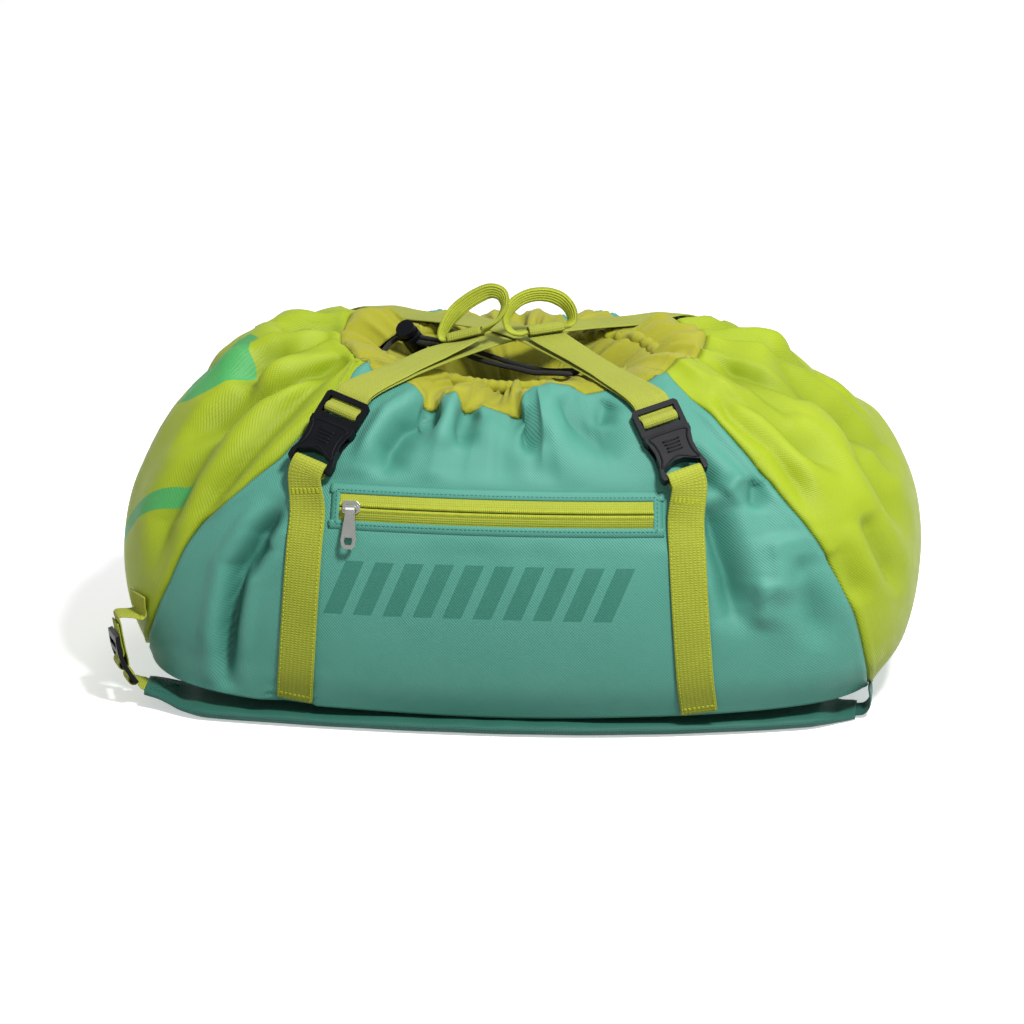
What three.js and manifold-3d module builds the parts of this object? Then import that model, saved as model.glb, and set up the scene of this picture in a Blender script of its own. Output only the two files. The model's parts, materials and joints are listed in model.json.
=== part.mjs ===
// A rope storage bag: a soft holdall that lies on its shoulder strap. Two trapezoid panels, two gusset
// panels and a base make the sack, a gathered collar with a drawcord closes its mouth, and two
// compression straps cross over the mouth and clip to the front with side-release buckles.
// Millimetres, +X to the right, +Y to the back, +Z up. The origin is on the floor, under the middle.
import * as THREE from 'three';
import { mergeVertices } from 'three/addons/utils/BufferGeometryUtils.js';
import Module from 'manifold-3d';

const wasm = await Module();
wasm.setup();

// ---- driving dimensions ----
const FABRIC = 1.6; // wall of a fabric panel with its seam allowance
const SEAM_GAP = 0.5; // between two panels that are sewn edge to edge
const WEBBING_WIDTH = 25;
const WEBBING = 1.6; // thickness of the webbing
const LAY_GAP = 0.7; // between webbing and the fabric it is sewn to
const CORD_RADIUS = 1.8;
const ZIP_HALF_HEIGHT = 9.6; // half of the window that the zip fills
const ZIP_HEIGHT = 157; // of the zip's centre line above the floor
const ZIP_HALF_LENGTH = 106;

// The sack in loops from the base seam (s = 0) to the collar seam (s = 1). Each loop is a superellipse.
const LOOPS = [
  // s, half width, half depth, height at the front, at the sides, squareness, half width of the front panel
  { s: 0.0, width: 244, depth: 146, front: 11, side: 20, square: 3.6, panel: 237 },
  { s: 0.15, width: 261, depth: 156, front: 38, side: 46, square: 3.3, panel: 236 },
  { s: 0.35, width: 268, depth: 160, front: 84, side: 92, square: 3.0, panel: 226 },
  { s: 0.55, width: 259, depth: 156, front: 131, side: 141, square: 2.8, panel: 204 },
  { s: 0.75, width: 230, depth: 142, front: 174, side: 190, square: 2.6, panel: 170 },
  { s: 0.9, width: 181, depth: 119, front: 203, side: 223, square: 2.35, panel: 134 },
  { s: 1.0, width: 131, depth: 100, front: 214, side: 234, square: 2.1, panel: 106 },
];
const BACK_RISE = 10; // how much higher the back of the collar seam is than its front
const LEFT_LIFT = 30; // the slack left end of the base stands clear of the shoulder strap
const MOUTH = { x: 2, halfWidth: 96, halfDepth: 57, height: 217, sideRise: 7 };
const COLLAR_CREST = 3; // how far the collar bulges up between its seam and its rim

// Where the webbing runs: half spacing at the base seam and where it meets the buckles.
const STRAP_X_LOW = 137;
const STRAP_X_HIGH = 125;
const STRAP_TOP_S = 0.735; // the front webbing ends here and holds the buckle

// Shoulder strap: a banana-shaped pad that lies on the floor under the front edge.
const PAD = { width: 60, skin: 1.2, foam: 6.2, gap: 0.3, frontY: -154, left: -243, right: 240 };
const PAD_BEND = { left: 1300, right: 700 }; // radius of its curve on the left and on the right
const PAD_END_WIDTH = 34;
const PAD_LIFT = 9; // its left end is pulled up towards the adjuster

// ---- colours ----
const JADE = { color: 0x4f9b88, roughness: 0.75, metalness: 0 };
const LIME = { color: 0xb2c739, roughness: 0.75, metalness: 0 };
const PALE_LIME = { color: 0xb3ad31, roughness: 0.8, metalness: 0 };
const WEBBING_LIME = { color: 0xb0b840, roughness: 0.85, metalness: 0 };
const BLACK_PLASTIC = { color: 0x272a30, roughness: 0.45, metalness: 0 };
const BLACK_CORD = { color: 0x1e1c16, roughness: 0.8, metalness: 0 };
const STEEL = { color: 0xc7c9c0, roughness: 0.25, metalness: 1 };
const FOAM = { color: 0x8a8f8c, roughness: 0.95, metalness: 0 };

// ---- geometry helpers ----
const vec = (x, y, z) => new THREE.Vector3(x, y, z);
const mix = (a, b, t) => a + (b - a) * t;
const clamp01 = (t) => Math.min(1, Math.max(0, t));
const smooth = (t) => clamp01(t) ** 2 * (3 - 2 * clamp01(t));
const degrees = (d) => (d * Math.PI) / 180;
const steps = (n, from = 0, to = 1) => Array.from({ length: n + 1 }, (_, i) => mix(from, to, i / n));

/** A closed surface from points and triangles, turned to face outwards. */
function closed(points, triangles) {
  const volume = triangles.reduce((sum, [a, b, c]) => {
    const normal = new THREE.Vector3().crossVectors(points[b], points[c]);
    return sum + points[a].dot(normal);
  }, 0);
  const facing = volume < 0 ? triangles.map(([a, b, c]) => [a, c, b]) : triangles;
  const geometry = new THREE.BufferGeometry().setFromPoints(points);
  geometry.setIndex(facing.flat());
  geometry.computeVertexNormals();
  return geometry;
}

/** A sheet with thickness: two grids of the same size, joined round their edges. */
function sheet(outer, inner) {
  const rows = outer.length;
  const columns = outer[0].length;
  const count = rows * columns;
  const top = (i, j) => i * columns + j;
  const under = (i, j) => count + i * columns + j;
  const triangles = [];
  const quad = (a, b, c, d) => triangles.push([a, b, c], [a, c, d]);
  for (let i = 0; i < rows - 1; i++) {
    for (let j = 0; j < columns - 1; j++) {
      quad(top(i, j), top(i, j + 1), top(i + 1, j + 1), top(i + 1, j));
      quad(under(i, j), under(i + 1, j), under(i + 1, j + 1), under(i, j + 1));
    }
    const last = columns - 1;
    quad(top(i, 0), top(i + 1, 0), under(i + 1, 0), under(i, 0));
    quad(top(i, last), under(i, last), under(i + 1, last), top(i + 1, last));
  }
  for (let j = 0; j < columns - 1; j++) {
    const last = rows - 1;
    quad(top(0, j), under(0, j), under(0, j + 1), top(0, j + 1));
    quad(top(last, j), top(last, j + 1), under(last, j + 1), under(last, j));
  }
  return closed([...outer.flat(), ...inner.flat()], triangles);
}

/** Webbing along a curve through the stations; each has its width direction and may have its own width. */
function ribbon(stations, width, thickness, count) {
  const path = new THREE.CatmullRomCurve3(stations.map((p) => p.at), false, 'centripetal');
  const last = stations.length - 1;
  const outer = [];
  const inner = [];
  for (const t of steps(count)) {
    const index = Math.min(last - 1, Math.floor(t * last));
    const share = t * last - index;
    const tangent = path.getTangent(t);
    const across = stations[index].across.clone().lerp(stations[index + 1].across, share);
    across.addScaledVector(tangent, -across.dot(tangent)).normalize();
    const normal = new THREE.Vector3().crossVectors(across, tangent).normalize();
    const centre = path.getPoint(t);
    const wide = mix(stations[index].width ?? width, stations[index + 1].width ?? width, share);
    const corner = (side, face) =>
      centre.clone().addScaledVector(across, (side * wide) / 2).addScaledVector(normal, (face * thickness) / 2);
    outer.push([corner(-1, 1), corner(1, 1)]);
    inner.push([corner(-1, -1), corner(1, -1)]);
  }
  return sheet(outer, inner);
}

/** A round cord, or a hollow tube, along a curve. */
function tube(points, radius, count, sides, bore = 0) {
  const path = new THREE.CatmullRomCurve3(points, false, 'centripetal');
  const section = new THREE.Shape(circlePoints(radius, sides));
  if (bore > 0) section.holes.push(new THREE.Path(circlePoints(bore, sides).reverse()));
  return new THREE.ExtrudeGeometry(section, { steps: count, extrudePath: path, bevelEnabled: false });
}

function circlePoints(radius, sides) {
  return steps(sides).slice(0, sides).map((t) => {
    const angle = 2 * Math.PI * t;
    return new THREE.Vector2(radius * Math.cos(angle), radius * Math.sin(angle));
  });
}

function box(xs, ys, zs) {
  const geometry = new THREE.BoxGeometry(xs[1] - xs[0], ys[1] - ys[0], zs[1] - zs[0]);
  return geometry.translate((xs[0] + xs[1]) / 2, (ys[0] + ys[1]) / 2, (zs[0] + zs[1]) / 2);
}

/** A flat outline of [x, y] corners, thickened from z = low to z = high. */
function plate(outline, low, high, holes = []) {
  const corners = outline.map(([x, y]) => new THREE.Vector2(x, y));
  const shape = new THREE.Shape(THREE.ShapeUtils.isClockWise(corners) ? corners.reverse() : corners);
  for (const hole of holes) shape.holes.push(new THREE.Path(hole.map(([x, y]) => new THREE.Vector2(x, y))));
  return new THREE.ExtrudeGeometry(shape, { depth: high - low, bevelEnabled: false }).translate(0, 0, low);
}

/** A rod along +Z from z = low to z = high. */
function rod(radius, low, high, sides = 20) {
  return plate(circlePoints(radius, sides).map((p) => [p.x, p.y]), low, high);
}

function toSolid(geometry) {
  const bare = geometry.clone();
  bare.deleteAttribute('normal');
  bare.deleteAttribute('uv');
  const merged = mergeVertices(bare, 1e-4);
  const triVerts = new Uint32Array(merged.index.array);
  return new wasm.Manifold(new wasm.Mesh({ numProp: 3, vertProperties: merged.attributes.position.array, triVerts }));
}

function toGeometry(solid) {
  const { numProp, numVert, vertProperties, triVerts } = solid.getMesh();
  const positions = new Float32Array(numVert * 3);
  for (let i = 0; i < numVert; i++) positions.set(vertProperties.subarray(i * numProp, i * numProp + 3), 3 * i);
  const geometry = new THREE.BufferGeometry().setAttribute('position', new THREE.BufferAttribute(positions, 3));
  geometry.setIndex(new THREE.BufferAttribute(triVerts, 1));
  geometry.computeVertexNormals();
  return geometry;
}

const cut = (body, ...tools) => toGeometry(tools.reduce((s, t) => s.subtract(toSolid(t)), toSolid(body)));
const join = (...bodies) => toGeometry(bodies.slice(1).reduce((s, b) => s.add(toSolid(b)), toSolid(bodies[0])));

// ---- the sack's surface ----

/** One column of LOOPS at s, on a smooth curve through its values. */
function column(name, s) {
  const last = LOOPS.length - 1;
  const i = Math.max(0, Math.min(last - 1, LOOPS.findIndex((loop) => loop.s > s) - 1));
  const index = s >= 1 ? last - 1 : i;
  const [a, b] = [LOOPS[index], LOOPS[index + 1]];
  const [before, after] = [LOOPS[Math.max(0, index - 1)], LOOPS[Math.min(last, index + 2)]];
  const span = b.s - a.s;
  const t = (s - a.s) / span;
  const slopeA = (b[name] - before[name]) / (b.s - before.s);
  const slopeB = (after[name] - a[name]) / (after.s - a.s);
  const square = t * t;
  const cube = square * t;
  return (
    (2 * cube - 3 * square + 1) * a[name] +
    (cube - 2 * square + t) * span * slopeA +
    (3 * square - 2 * cube) * b[name] +
    (cube - square) * span * slopeB
  );
}

/** Distance from the axis to a superellipse, at an angle measured from the front towards the right. */
function superRadius(angle, halfWidth, halfDepth, power) {
  const across = Math.abs(Math.sin(angle)) / halfWidth;
  const along = Math.abs(Math.cos(angle)) / halfDepth;
  return (across ** power + along ** power) ** (-1 / power);
}

function seamHeight(angle, s) {
  const toSide = Math.sin(angle) ** 2;
  const toBack = Math.max(0, -Math.cos(angle)) ** 2;
  const left = Math.max(0, -Math.sin(angle)) ** 6;
  const front = column('front', s);
  return mix(front, column('side', s), toSide) + BACK_RISE * s * toBack + LEFT_LIFT * left * (1 - s) ** 4;
}

/** A point of the sack's outside. */
function sackPoint(angle, s) {
  const radius = superRadius(angle, column('width', s), column('depth', s), column('square', s));
  return vec(radius * Math.sin(angle), -radius * Math.cos(angle), seamHeight(angle, s));
}

/** A point of the collar's outside, from its seam (c = 0) to the rim of the mouth (c = 1). */
function collarPoint(angle, c) {
  const seam = sackPoint(angle, 1);
  const rim = rimPoint(angle);
  const point = seam.lerp(rim, c);
  point.z = mix(seamHeight(angle, 1), rim.z, c * c) + COLLAR_CREST * Math.sin(Math.PI * c);
  return point;
}

function rimPoint(angle) {
  const radius = superRadius(angle, MOUTH.halfWidth, MOUTH.halfDepth, 2);
  const z = MOUTH.height + MOUTH.sideRise * Math.sin(angle) ** 2;
  return vec(MOUTH.x + radius * Math.sin(angle), -radius * Math.cos(angle), z);
}

/** The outward normal of a surface given by surface(angle, s). */
function normalOf(surface, angle, s) {
  const step = 1e-3;
  const low = Math.max(0, s - step);
  const high = Math.min(1, s + step);
  const round = surface(angle + step, s).sub(surface(angle - step, s));
  const up = surface(angle, high).sub(surface(angle, low));
  return round.cross(up).normalize();
}

/** The angle at which a loop has this x, on the front (or on the back). */
function angleAtX(x, s, onBack = false) {
  const power = column('square', s);
  const share = Math.min(1, Math.abs(x) / column('width', s));
  const y = column('depth', s) * (1 - share ** power) ** (1 / power);
  return Math.atan2(x, onBack ? -y : y);
}

const seamAngle = (s) => angleAtX(column('panel', s), s);

/** A fabric panel between two angles, which may change with s. */
function panel(surface, from, to, columns, rows, low = 0, high = 1) {
  const outer = [];
  const inner = [];
  for (const s of steps(rows, low, high)) {
    const speed = surface(from(s) + 0.01, s).distanceTo(surface(from(s), s)) / 0.01;
    const inset = SEAM_GAP / 2 / speed;
    const angles = steps(columns, from(s) + inset, to(s) - inset);
    outer.push(angles.map((angle) => surface(angle, s)));
    inner.push(angles.map((angle) => surface(angle, s).addScaledVector(normalOf(surface, angle, s), -FABRIC)));
  }
  return sheet(outer, inner);
}

// ---- the sack's panels ----

function frontPanel() {
  const cloth = panel(sackPoint, (s) => -seamAngle(s), seamAngle, 16, 14, 0, 0.995);
  return cut(cloth, zipBand(-ZIP_HALF_HEIGHT, ZIP_HALF_HEIGHT, -6, 6, ZIP_HALF_LENGTH + 0.6));
}

const backPanel = () => panel(sackPoint, (s) => Math.PI - seamAngle(s), (s) => Math.PI + seamAngle(s), 14, 11, 0, 0.995);
const rightPanel = () => panel(sackPoint, seamAngle, (s) => Math.PI - seamAngle(s), 14, 11, 0, 0.995);
const leftPanel = () => panel(sackPoint, (s) => Math.PI + seamAngle(s), (s) => 2 * Math.PI - seamAngle(s), 14, 11, 0, 0.995);

const BASE_INSET = 0.972; // the base's edge lies inside the panels that are sewn to it

/** The base: flat on the floor at the back, raised over the shoulder strap at the front. */
function basePanel() {
  const rings = [1, 0.94, 0.87, 0.79, 0.7, 0.6, 0.49, 0.37, 0.24];
  const angles = steps(40).slice(0, 40).map((t) => 2 * Math.PI * t);
  const padTop = 2 * PAD.skin + PAD.foam + 2 * PAD.gap;
  const pointAt = (angle, share, lift) => {
    const edge = sackPoint(angle, 0);
    const y = edge.y * share * BASE_INSET;
    const overPad = 1 - smooth((y - padLine(edge.x * share) - PAD.width / 2 - 14) / 30);
    const floor = overPad * (padTop + 0.8);
    const rise = smooth((share - 0.72) / 0.28);
    return vec(edge.x * share * BASE_INSET, y, mix(floor, edge.z, rise) + lift);
  };
  const points = [];
  for (const lift of [FABRIC, 0]) {
    for (const share of rings) points.push(...angles.map((angle) => pointAt(angle, share, lift)));
    points.push(pointAt(0, 0, lift));
  }
  const count = angles.length;
  const layer = rings.length * count + 1;
  const triangles = [];
  for (let j = 0; j < count; j++) {
    const next = (j + 1) % count;
    for (let i = 0; i < rings.length - 1; i++) {
      const [a, b, c, d] = [i * count + j, i * count + next, (i + 1) * count + next, (i + 1) * count + j];
      triangles.push([a, b, c], [a, c, d], [layer + a, layer + c, layer + b], [layer + a, layer + d, layer + c]);
    }
    const inner = (rings.length - 1) * count;
    triangles.push([inner + j, inner + next, layer - 1], [layer + inner + j, 2 * layer - 1, layer + inner + next]);
    triangles.push([j, layer + next, next], [j, layer + j, layer + next]);
  }
  return closed(points, triangles);
}

// ---- the gathered collar, its casing and the drawcord ----
const COLLAR_SIDE = 60; // the side pieces of the collar meet its front and back pieces at this angle

function collar(fromDegrees, toDegrees, columns) {
  const from = degrees(fromDegrees);
  const to = degrees(toDegrees);
  return panel(collarPoint, () => from, () => to, columns, 4, 0.012, 0.86);
}

const CASING = { radius: 4.2, bore: 2.8, from: -80, to: 249 }; // degrees round the mouth; the rest is the opening

/** The hem that the drawcord runs in: a tube round the mouth with an opening at its left end. */
function casing() {
  const around = steps(40, degrees(CASING.from), degrees(CASING.to)).map(rimPoint);
  return tube(around, CASING.radius, 44, 8, CASING.bore);
}

// The cord lock: its middle, the way the cord runs through it and the way its button points.
const LOCK = { at: vec(-71, 6, 231), cord: vec(0.88, -0.475, 0).normalize(), bore: 5.4, radius: 7, travel: 3 };
LOCK.up = vec(-0.33, -0.61, 0.72);
LOCK.up.addScaledVector(LOCK.cord, -LOCK.up.dot(LOCK.cord)).normalize();
LOCK.side = new THREE.Vector3().crossVectors(LOCK.up, LOCK.cord).normalize();
const STRAND = 2.0; // each strand of the doubled cord lies this far from the middle of the lock

const lockPoint = (along, side, up = 0) =>
  LOCK.at.clone().addScaledVector(LOCK.cord, along).addScaledVector(LOCK.side, side).addScaledVector(LOCK.up, up);

/** The drawcord inside the casing, with both ends out of the opening and up to the lock. */
function drawcord() {
  const around = steps(40, degrees(CASING.from - 0.5), degrees(CASING.to + 0.5)).map(rimPoint);
  const front = [lockPoint(-10, -STRAND), lockPoint(-12.5, -STRAND - 0.3, -0.4)];
  const back = [lockPoint(-12.5, STRAND + 0.3, -0.4), lockPoint(-10, STRAND)];
  return tube([...front, ...around, ...back], CORD_RADIUS, 78, 8);
}

// The free end of the doubled cord, from the lock across the mouth and back: one bight.
const TAIL = [
  lockPoint(-9, -STRAND),
  lockPoint(0, -STRAND),
  lockPoint(20, -STRAND),
  lockPoint(36, -STRAND),
  vec(-27, -22, 227),
  vec(-12, -29, 225),
  vec(4, -36, 224),
  vec(16, -43, 223.5),
  vec(25, -50, 225.5),
  vec(34, -58, 228),
  vec(43, -60, 228.5),
  vec(47, -53, 228),
  vec(42, -46, 226.5),
  vec(31, -41, 224.5),
  vec(20, -34, 223),
  vec(5, -27, 224),
  vec(-10, -20, 226),
  vec(-24, -14, 228.5),
  lockPoint(36, STRAND),
  lockPoint(20, STRAND),
  lockPoint(0, STRAND),
  lockPoint(-9, STRAND),
];
const drawcordTail = () => tube(TAIL, CORD_RADIUS, 70, 8);

/** Puts a shape made along +Z into the lock: +Z is the button's way, +X is the cord's. */
function inLock(geometry) {
  const basis = new THREE.Matrix4().makeBasis(LOCK.cord, LOCK.side, LOCK.up);
  return geometry.applyMatrix4(basis.setPosition(LOCK.at));
}

const BUTTON_SHAFT = [-3.8, 9.8]; // along the button's way, from the middle of the cord
const LOCK_BODY = [-10.5, 6.5];

function lockBody() {
  const shell = rod(LOCK.radius, ...LOCK_BODY, 24);
  const well = rod(LOCK.bore, LOCK_BODY[0] + 1.3, LOCK_BODY[1] + 1, 24);
  const cordHole = box([-12, 12], [-4.2, 4.2], [-2.3, 2.3]);
  return inLock(cut(shell, well, cordHole));
}

function lockButton() {
  const shaft = rod(LOCK.bore - 0.35, ...BUTTON_SHAFT, 24);
  const head = rod(LOCK.radius - 0.4, BUTTON_SHAFT[1] - 0.1, BUTTON_SHAFT[1] + 4, 24);
  const cordSlot = box([-12, 12], [-4.15, 4.15], [-2.2, 2.2 + LOCK.travel]);
  return inLock(cut(join(shaft, head), cordSlot));
}

function lockSpring() {
  const turns = 3.5;
  const [low, high] = [LOCK_BODY[0] + 2, BUTTON_SHAFT[0] - 0.7];
  const helix = steps(42).map((t) => {
    const angle = 2 * Math.PI * turns * t;
    return vec(3.4 * Math.cos(angle), 3.4 * Math.sin(angle), mix(low, high, t));
  });
  return inLock(tube(helix, 0.35, 42, 6));
}

// ---- the zip ----
const zipAngleAt = (z) => {
  // The loop that has this height at the front, by bisection.
  let [low, high] = [0, 1];
  for (let i = 0; i < 40; i++) {
    const middle = (low + high) / 2;
    if (seamHeight(0, middle) < z) low = middle;
    else high = middle;
  }
  return low;
};
const ZIP_S = zipAngleAt(ZIP_HEIGHT);
const zipFront = sackPoint(0, ZIP_S);
const zipEnd = sackPoint(angleAtX(ZIP_HALF_LENGTH, ZIP_S), ZIP_S);
const zipSagitta = zipEnd.y - zipFront.y;
const ZIP_RADIUS = (ZIP_HALF_LENGTH ** 2 + zipSagitta ** 2) / (2 * zipSagitta);
const ZIP_CENTRE_Y = zipFront.y + ZIP_RADIUS; // the slider's track is an arc round this upright line
const zipNormal = normalOf(sackPoint, 0, ZIP_S);

/** A point on the zip: x along it, up across the tapes, out from the fabric. */
function zipPoint(x, up, out) {
  const turn = x / ZIP_RADIUS;
  const flat = vec(0, zipFront.y, ZIP_HEIGHT);
  flat.addScaledVector(vec(0, -zipNormal.z, 0), -up).add(vec(0, 0, -zipNormal.y * up)).addScaledVector(zipNormal, out);
  const radius = ZIP_CENTRE_Y - flat.y;
  return vec(radius * Math.sin(turn), ZIP_CENTRE_Y - radius * Math.cos(turn), flat.z);
}

/** A strip of the zip between two heights across it and two depths, as long as the zip or given. */
function zipBand(low, high, inside, outside, halfLength = ZIP_HALF_LENGTH) {
  const along = steps(14, -halfLength, halfLength);
  const layer = (out) => along.map((x) => [zipPoint(x, low, out), zipPoint(x, high, out)]);
  return sheet(layer(outside), layer(inside));
}

const SLIDER_X = -ZIP_HALF_LENGTH + 9;
const PULL_PIN = { out: 5.4, radius: 0.9 };

/** Puts a shape into the zip at the slider: X along the zip, Y up across it, Z out. */
function atSlider(geometry) {
  const origin = zipPoint(SLIDER_X, 0, 0);
  const along = zipPoint(SLIDER_X + 1, 0, 0).sub(zipPoint(SLIDER_X - 1, 0, 0)).normalize();
  const out = zipPoint(SLIDER_X, 0, 1).sub(origin).normalize();
  const up = new THREE.Vector3().crossVectors(out, along).normalize();
  return geometry.applyMatrix4(new THREE.Matrix4().makeBasis(along, up, out).setPosition(origin));
}

function zipSlider() {
  const outline = [[-6, -3.4], [-4, -4.4], [3.4, -4.4], [6, -2.2], [6, 2.2], [3.4, 4.4], [-4, 4.4], [-6, 3.4]];
  const base = plate(outline, 0.5, 2.7);
  const posts = [-5, 3.6].map((x) => box([x, x + 1.4], [-1.1, 1.1], [2.4, PULL_PIN.out + 1.1]));
  const pin = rod(PULL_PIN.radius, -4.4, 4.4, 12).rotateY(Math.PI / 2).translate(0, 0, PULL_PIN.out);
  return atSlider(join(base, ...posts, pin));
}

function zipPull() {
  const barrel = rod(2.1, -3.1, 3.1, 16);
  const eye = rod(PULL_PIN.radius + 0.4, -4, 4, 16);
  const tab = [[-3, 0.5], [3, 0.5], [3.6, -8], [5.2, -22], [4.6, -26], [2.6, -28.2], [-2.6, -28.2], [-4.6, -26], [-5.2, -22], [-3.6, -8]];
  const loopHole = [[-2.6, -20.5], [2.6, -20.5], [2.9, -23], [2, -25.4], [-2, -25.4], [-2.9, -23]];
  const lay = plate(tab, PULL_PIN.out - 0.7, PULL_PIN.out + 0.7, [loopHole]);
  const turned = [barrel, eye].map((g) => g.rotateY(Math.PI / 2).translate(0, 0, PULL_PIN.out));
  return atSlider(cut(join(turned[0], lay), turned[1]));
}

/** The flat pocket behind the zip: one sheet against the inside of the front panel. */
function pocketLining() {
  const behind = (depth) => (angle, s) =>
    sackPoint(angle, s).addScaledVector(normalOf(sackPoint, angle, s), -depth);
  const angles = steps(10, -1, 1).map((t) => t * 0.66);
  const heights = steps(6, 0.16, 0.72);
  const layer = (depth) => heights.map((s) => angles.map((angle) => behind(depth)(angle, s)));
  return sheet(layer(FABRIC + 2.2), layer(FABRIC + 3.2));
}

// ---- webbing on the sack ----
const strapX = (s) => mix(STRAP_X_LOW, STRAP_X_HIGH, s / STRAP_TOP_S);

/** A station for sewn webbing: over the fabric at x and s, on the front or the back. */
function sewnStation(side, s, onBack, lift = LAY_GAP + WEBBING / 2) {
  const angle = angleAtX(side * strapX(s), s, onBack);
  const normal = normalOf(sackPoint, angle, s);
  const across = sackPoint(angle + 0.01, s).sub(sackPoint(angle - 0.01, s)).normalize();
  return { at: sackPoint(angle, s).addScaledVector(normal, lift), across };
}

// ---- side-release buckles ----
// In a buckle's own frame X is its width, Y runs from the socket's bar to the strap and Z is outwards.
const BUCKLE = { halfWidth: 16.5, thickness: 8, mouth: 35, end: 56, wall: 1.4 };
const BAR = { y: 44.8, z: 4.15, half: 1.1 }; // the plug's inner bar, which the strap turns round

function socketShape() {
  const half = BUCKLE.halfWidth;
  const right = [[half - 1, 0], [half, 1.5], [half, 6], [half - 2, 12], [half - 2.6, 21], [half - 1.2, 28], [half, 31], [half, BUCKLE.mouth]];
  const left = right.map(([x, y]) => [-x, y]).reverse();
  const slot = [[-13, 3.6], [13, 3.6], [13, 7.6], [3.5, 12], [-3.5, 12], [-13, 7.6]];
  const body = plate([...right, ...left], 0, BUCKLE.thickness, [slot]);
  const cavity = box([-12.6, 12.6], [15, 40], [BUCKLE.wall, BUCKLE.thickness - BUCKLE.wall]);
  const windows = box([-20, 20], [17.5, 28.5], [BUCKLE.wall, BUCKLE.thickness - BUCKLE.wall]);
  const barFront = box([-13, 13], [-1, 3.6], [5.2, 9]);
  const barBack = box([-13, 13], [-1, 3.6], [-1, 2.4]);
  return cut(body, cavity, windows, barFront, barBack);
}

function plugShape() {
  const half = BUCKLE.halfWidth;
  const [bottom, top] = [BUCKLE.wall + 0.3, BUCKLE.thickness - BUCKLE.wall - 0.3];
  const start = BUCKLE.mouth + 0.4;
  const frame = plate([[-half, start], [half, start], [half, BUCKLE.end - 2], [half - 2, BUCKLE.end], [2 - half, BUCKLE.end], [-half, BUCKLE.end - 2]], bottom, top);
  const arm = [[8, start + 0.2], [12.3, start + 0.2], [12.3, 20], [10.4, 16], [8.2, 20]];
  const arms = [1, -1].map((side) => plate(side > 0 ? arm : arm.map(([x, y]) => [-x, y]).reverse(), bottom, top));
  const tongue = plate([[-2, start + 0.2], [-2, 19], [2, 19], [2, start + 0.2]], bottom + 1, top - 1);
  const innerSlot = box([-13, 13], [39.4, BAR.y - BAR.half], [-1, 10]);
  const outerSlot = box([-13, 13], [BAR.y + BAR.half, 52.2], [-1, 10]);
  const underOuterBar = box([-13, 13], [51, 60], [-1, 4.3]);
  const aboveBar = box([-13, 13], [43, 47], [BAR.z + BAR.half, 10]);
  const belowBar = box([-13, 13], [43, 47], [-1, BAR.z - BAR.half]);
  return cut(join(frame, ...arms, tongue), innerSlot, outerSlot, underOuterBar, aboveBar, belowBar);
}

/** Where a buckle lies: side is -1 on the left and 1 on the right. */
function buckleFrame(side) {
  const low = sewnStation(side, STRAP_TOP_S, false, 4.2);
  const highAngle = angleAtX(side * 98, 0.935);
  const high = sackPoint(highAngle, 0.935).addScaledVector(normalOf(sackPoint, highAngle, 0.9), 5.5);
  const along = high.sub(low.at).normalize();
  const middle = normalOf(sackPoint, angleAtX(side * 112, 0.84), 0.84);
  const across = new THREE.Vector3().crossVectors(along, middle).normalize();
  const out = new THREE.Vector3().crossVectors(across, along).normalize();
  return new THREE.Matrix4().makeBasis(across, along, out).setPosition(low.at);
}

const inBuckle = (frame, x, y, z) => vec(x, y, z).applyMatrix4(frame);
const acrossOf = (frame) => new THREE.Vector3().setFromMatrixColumn(frame, 0);

/** Front webbing: sewn up the panel, round the socket's bar, with its end turned under behind it. */
function frontWebbing(side) {
  const frame = buckleFrame(side);
  const held = (y, z) => ({ at: inBuckle(frame, 0, y, z), across: acrossOf(frame) });
  const sewn = [0.02, 0.15, 0.3, 0.43, 0.54, 0.63].map((s) => sewnStation(side, s, false));
  const wrap = [held(-6.5, 3), held(-1.2, 6.2), held(2.2, 6.9), held(4.9, 5.6), held(5.1, 2.4), held(2.4, 0.8), held(-1.2, 0.6), held(-4, 0.2)];
  return ribbon([...sewn, ...wrap], WEBBING_WIDTH, WEBBING, 44);
}

/** Back webbing: stands further off towards the top, where the panel is more curved across. */
function backWebbing(side) {
  const lift = (s) => LAY_GAP + WEBBING / 2 + 1.2 * s ** 4;
  return ribbon(steps(12, 0.02, 0.94).map((s) => sewnStation(side, s, true, lift(s))), WEBBING_WIDTH, WEBBING, 24);
}

/** Stations through points, with the webbing lying flat on a surface that has these normals. */
function lying(points, normals) {
  const last = points.length - 1;
  return points.map((at, i) => {
    const tangent = points[Math.min(i + 1, last)].clone().sub(points[Math.max(i - 1, 0)]);
    return { at, across: new THREE.Vector3().crossVectors(normals[i], tangent).normalize() };
  });
}

// ---- pull loops: a narrow webbing ring through the rolled hem at the end of each tail ----
const LOOP = { width: 11, thickness: 1.8, inHem: 4.4, hemRadius: 3.7 };
const LEFT_HEM = { at: vec(-31, -31, 245), along: vec(0.93, -0.16, 0.3), rise: vec(-0.1, 0.3, 1) };
const RIGHT_HEM = { at: vec(23, -22, 248), along: vec(0.94, 0.33, 0.08), rise: vec(0, 0.1, 1) };
// The rings' outlines: along the hem and up from it.
const LEFT_RING = [[17, 1.5], [26, 7], [32, 17], [32, 26], [25, 31], [13, 29], [-1, 22], [-11, 13], [-16, 5], [-16, 0.5]];
const RIGHT_RING = [[16, 0.6], [19, 5], [18, 13], [12, 21.5], [3, 26.5], [-9, 27.5], [-20, 23], [-26, 14], [-26, 5], [-20, 0]];

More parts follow.
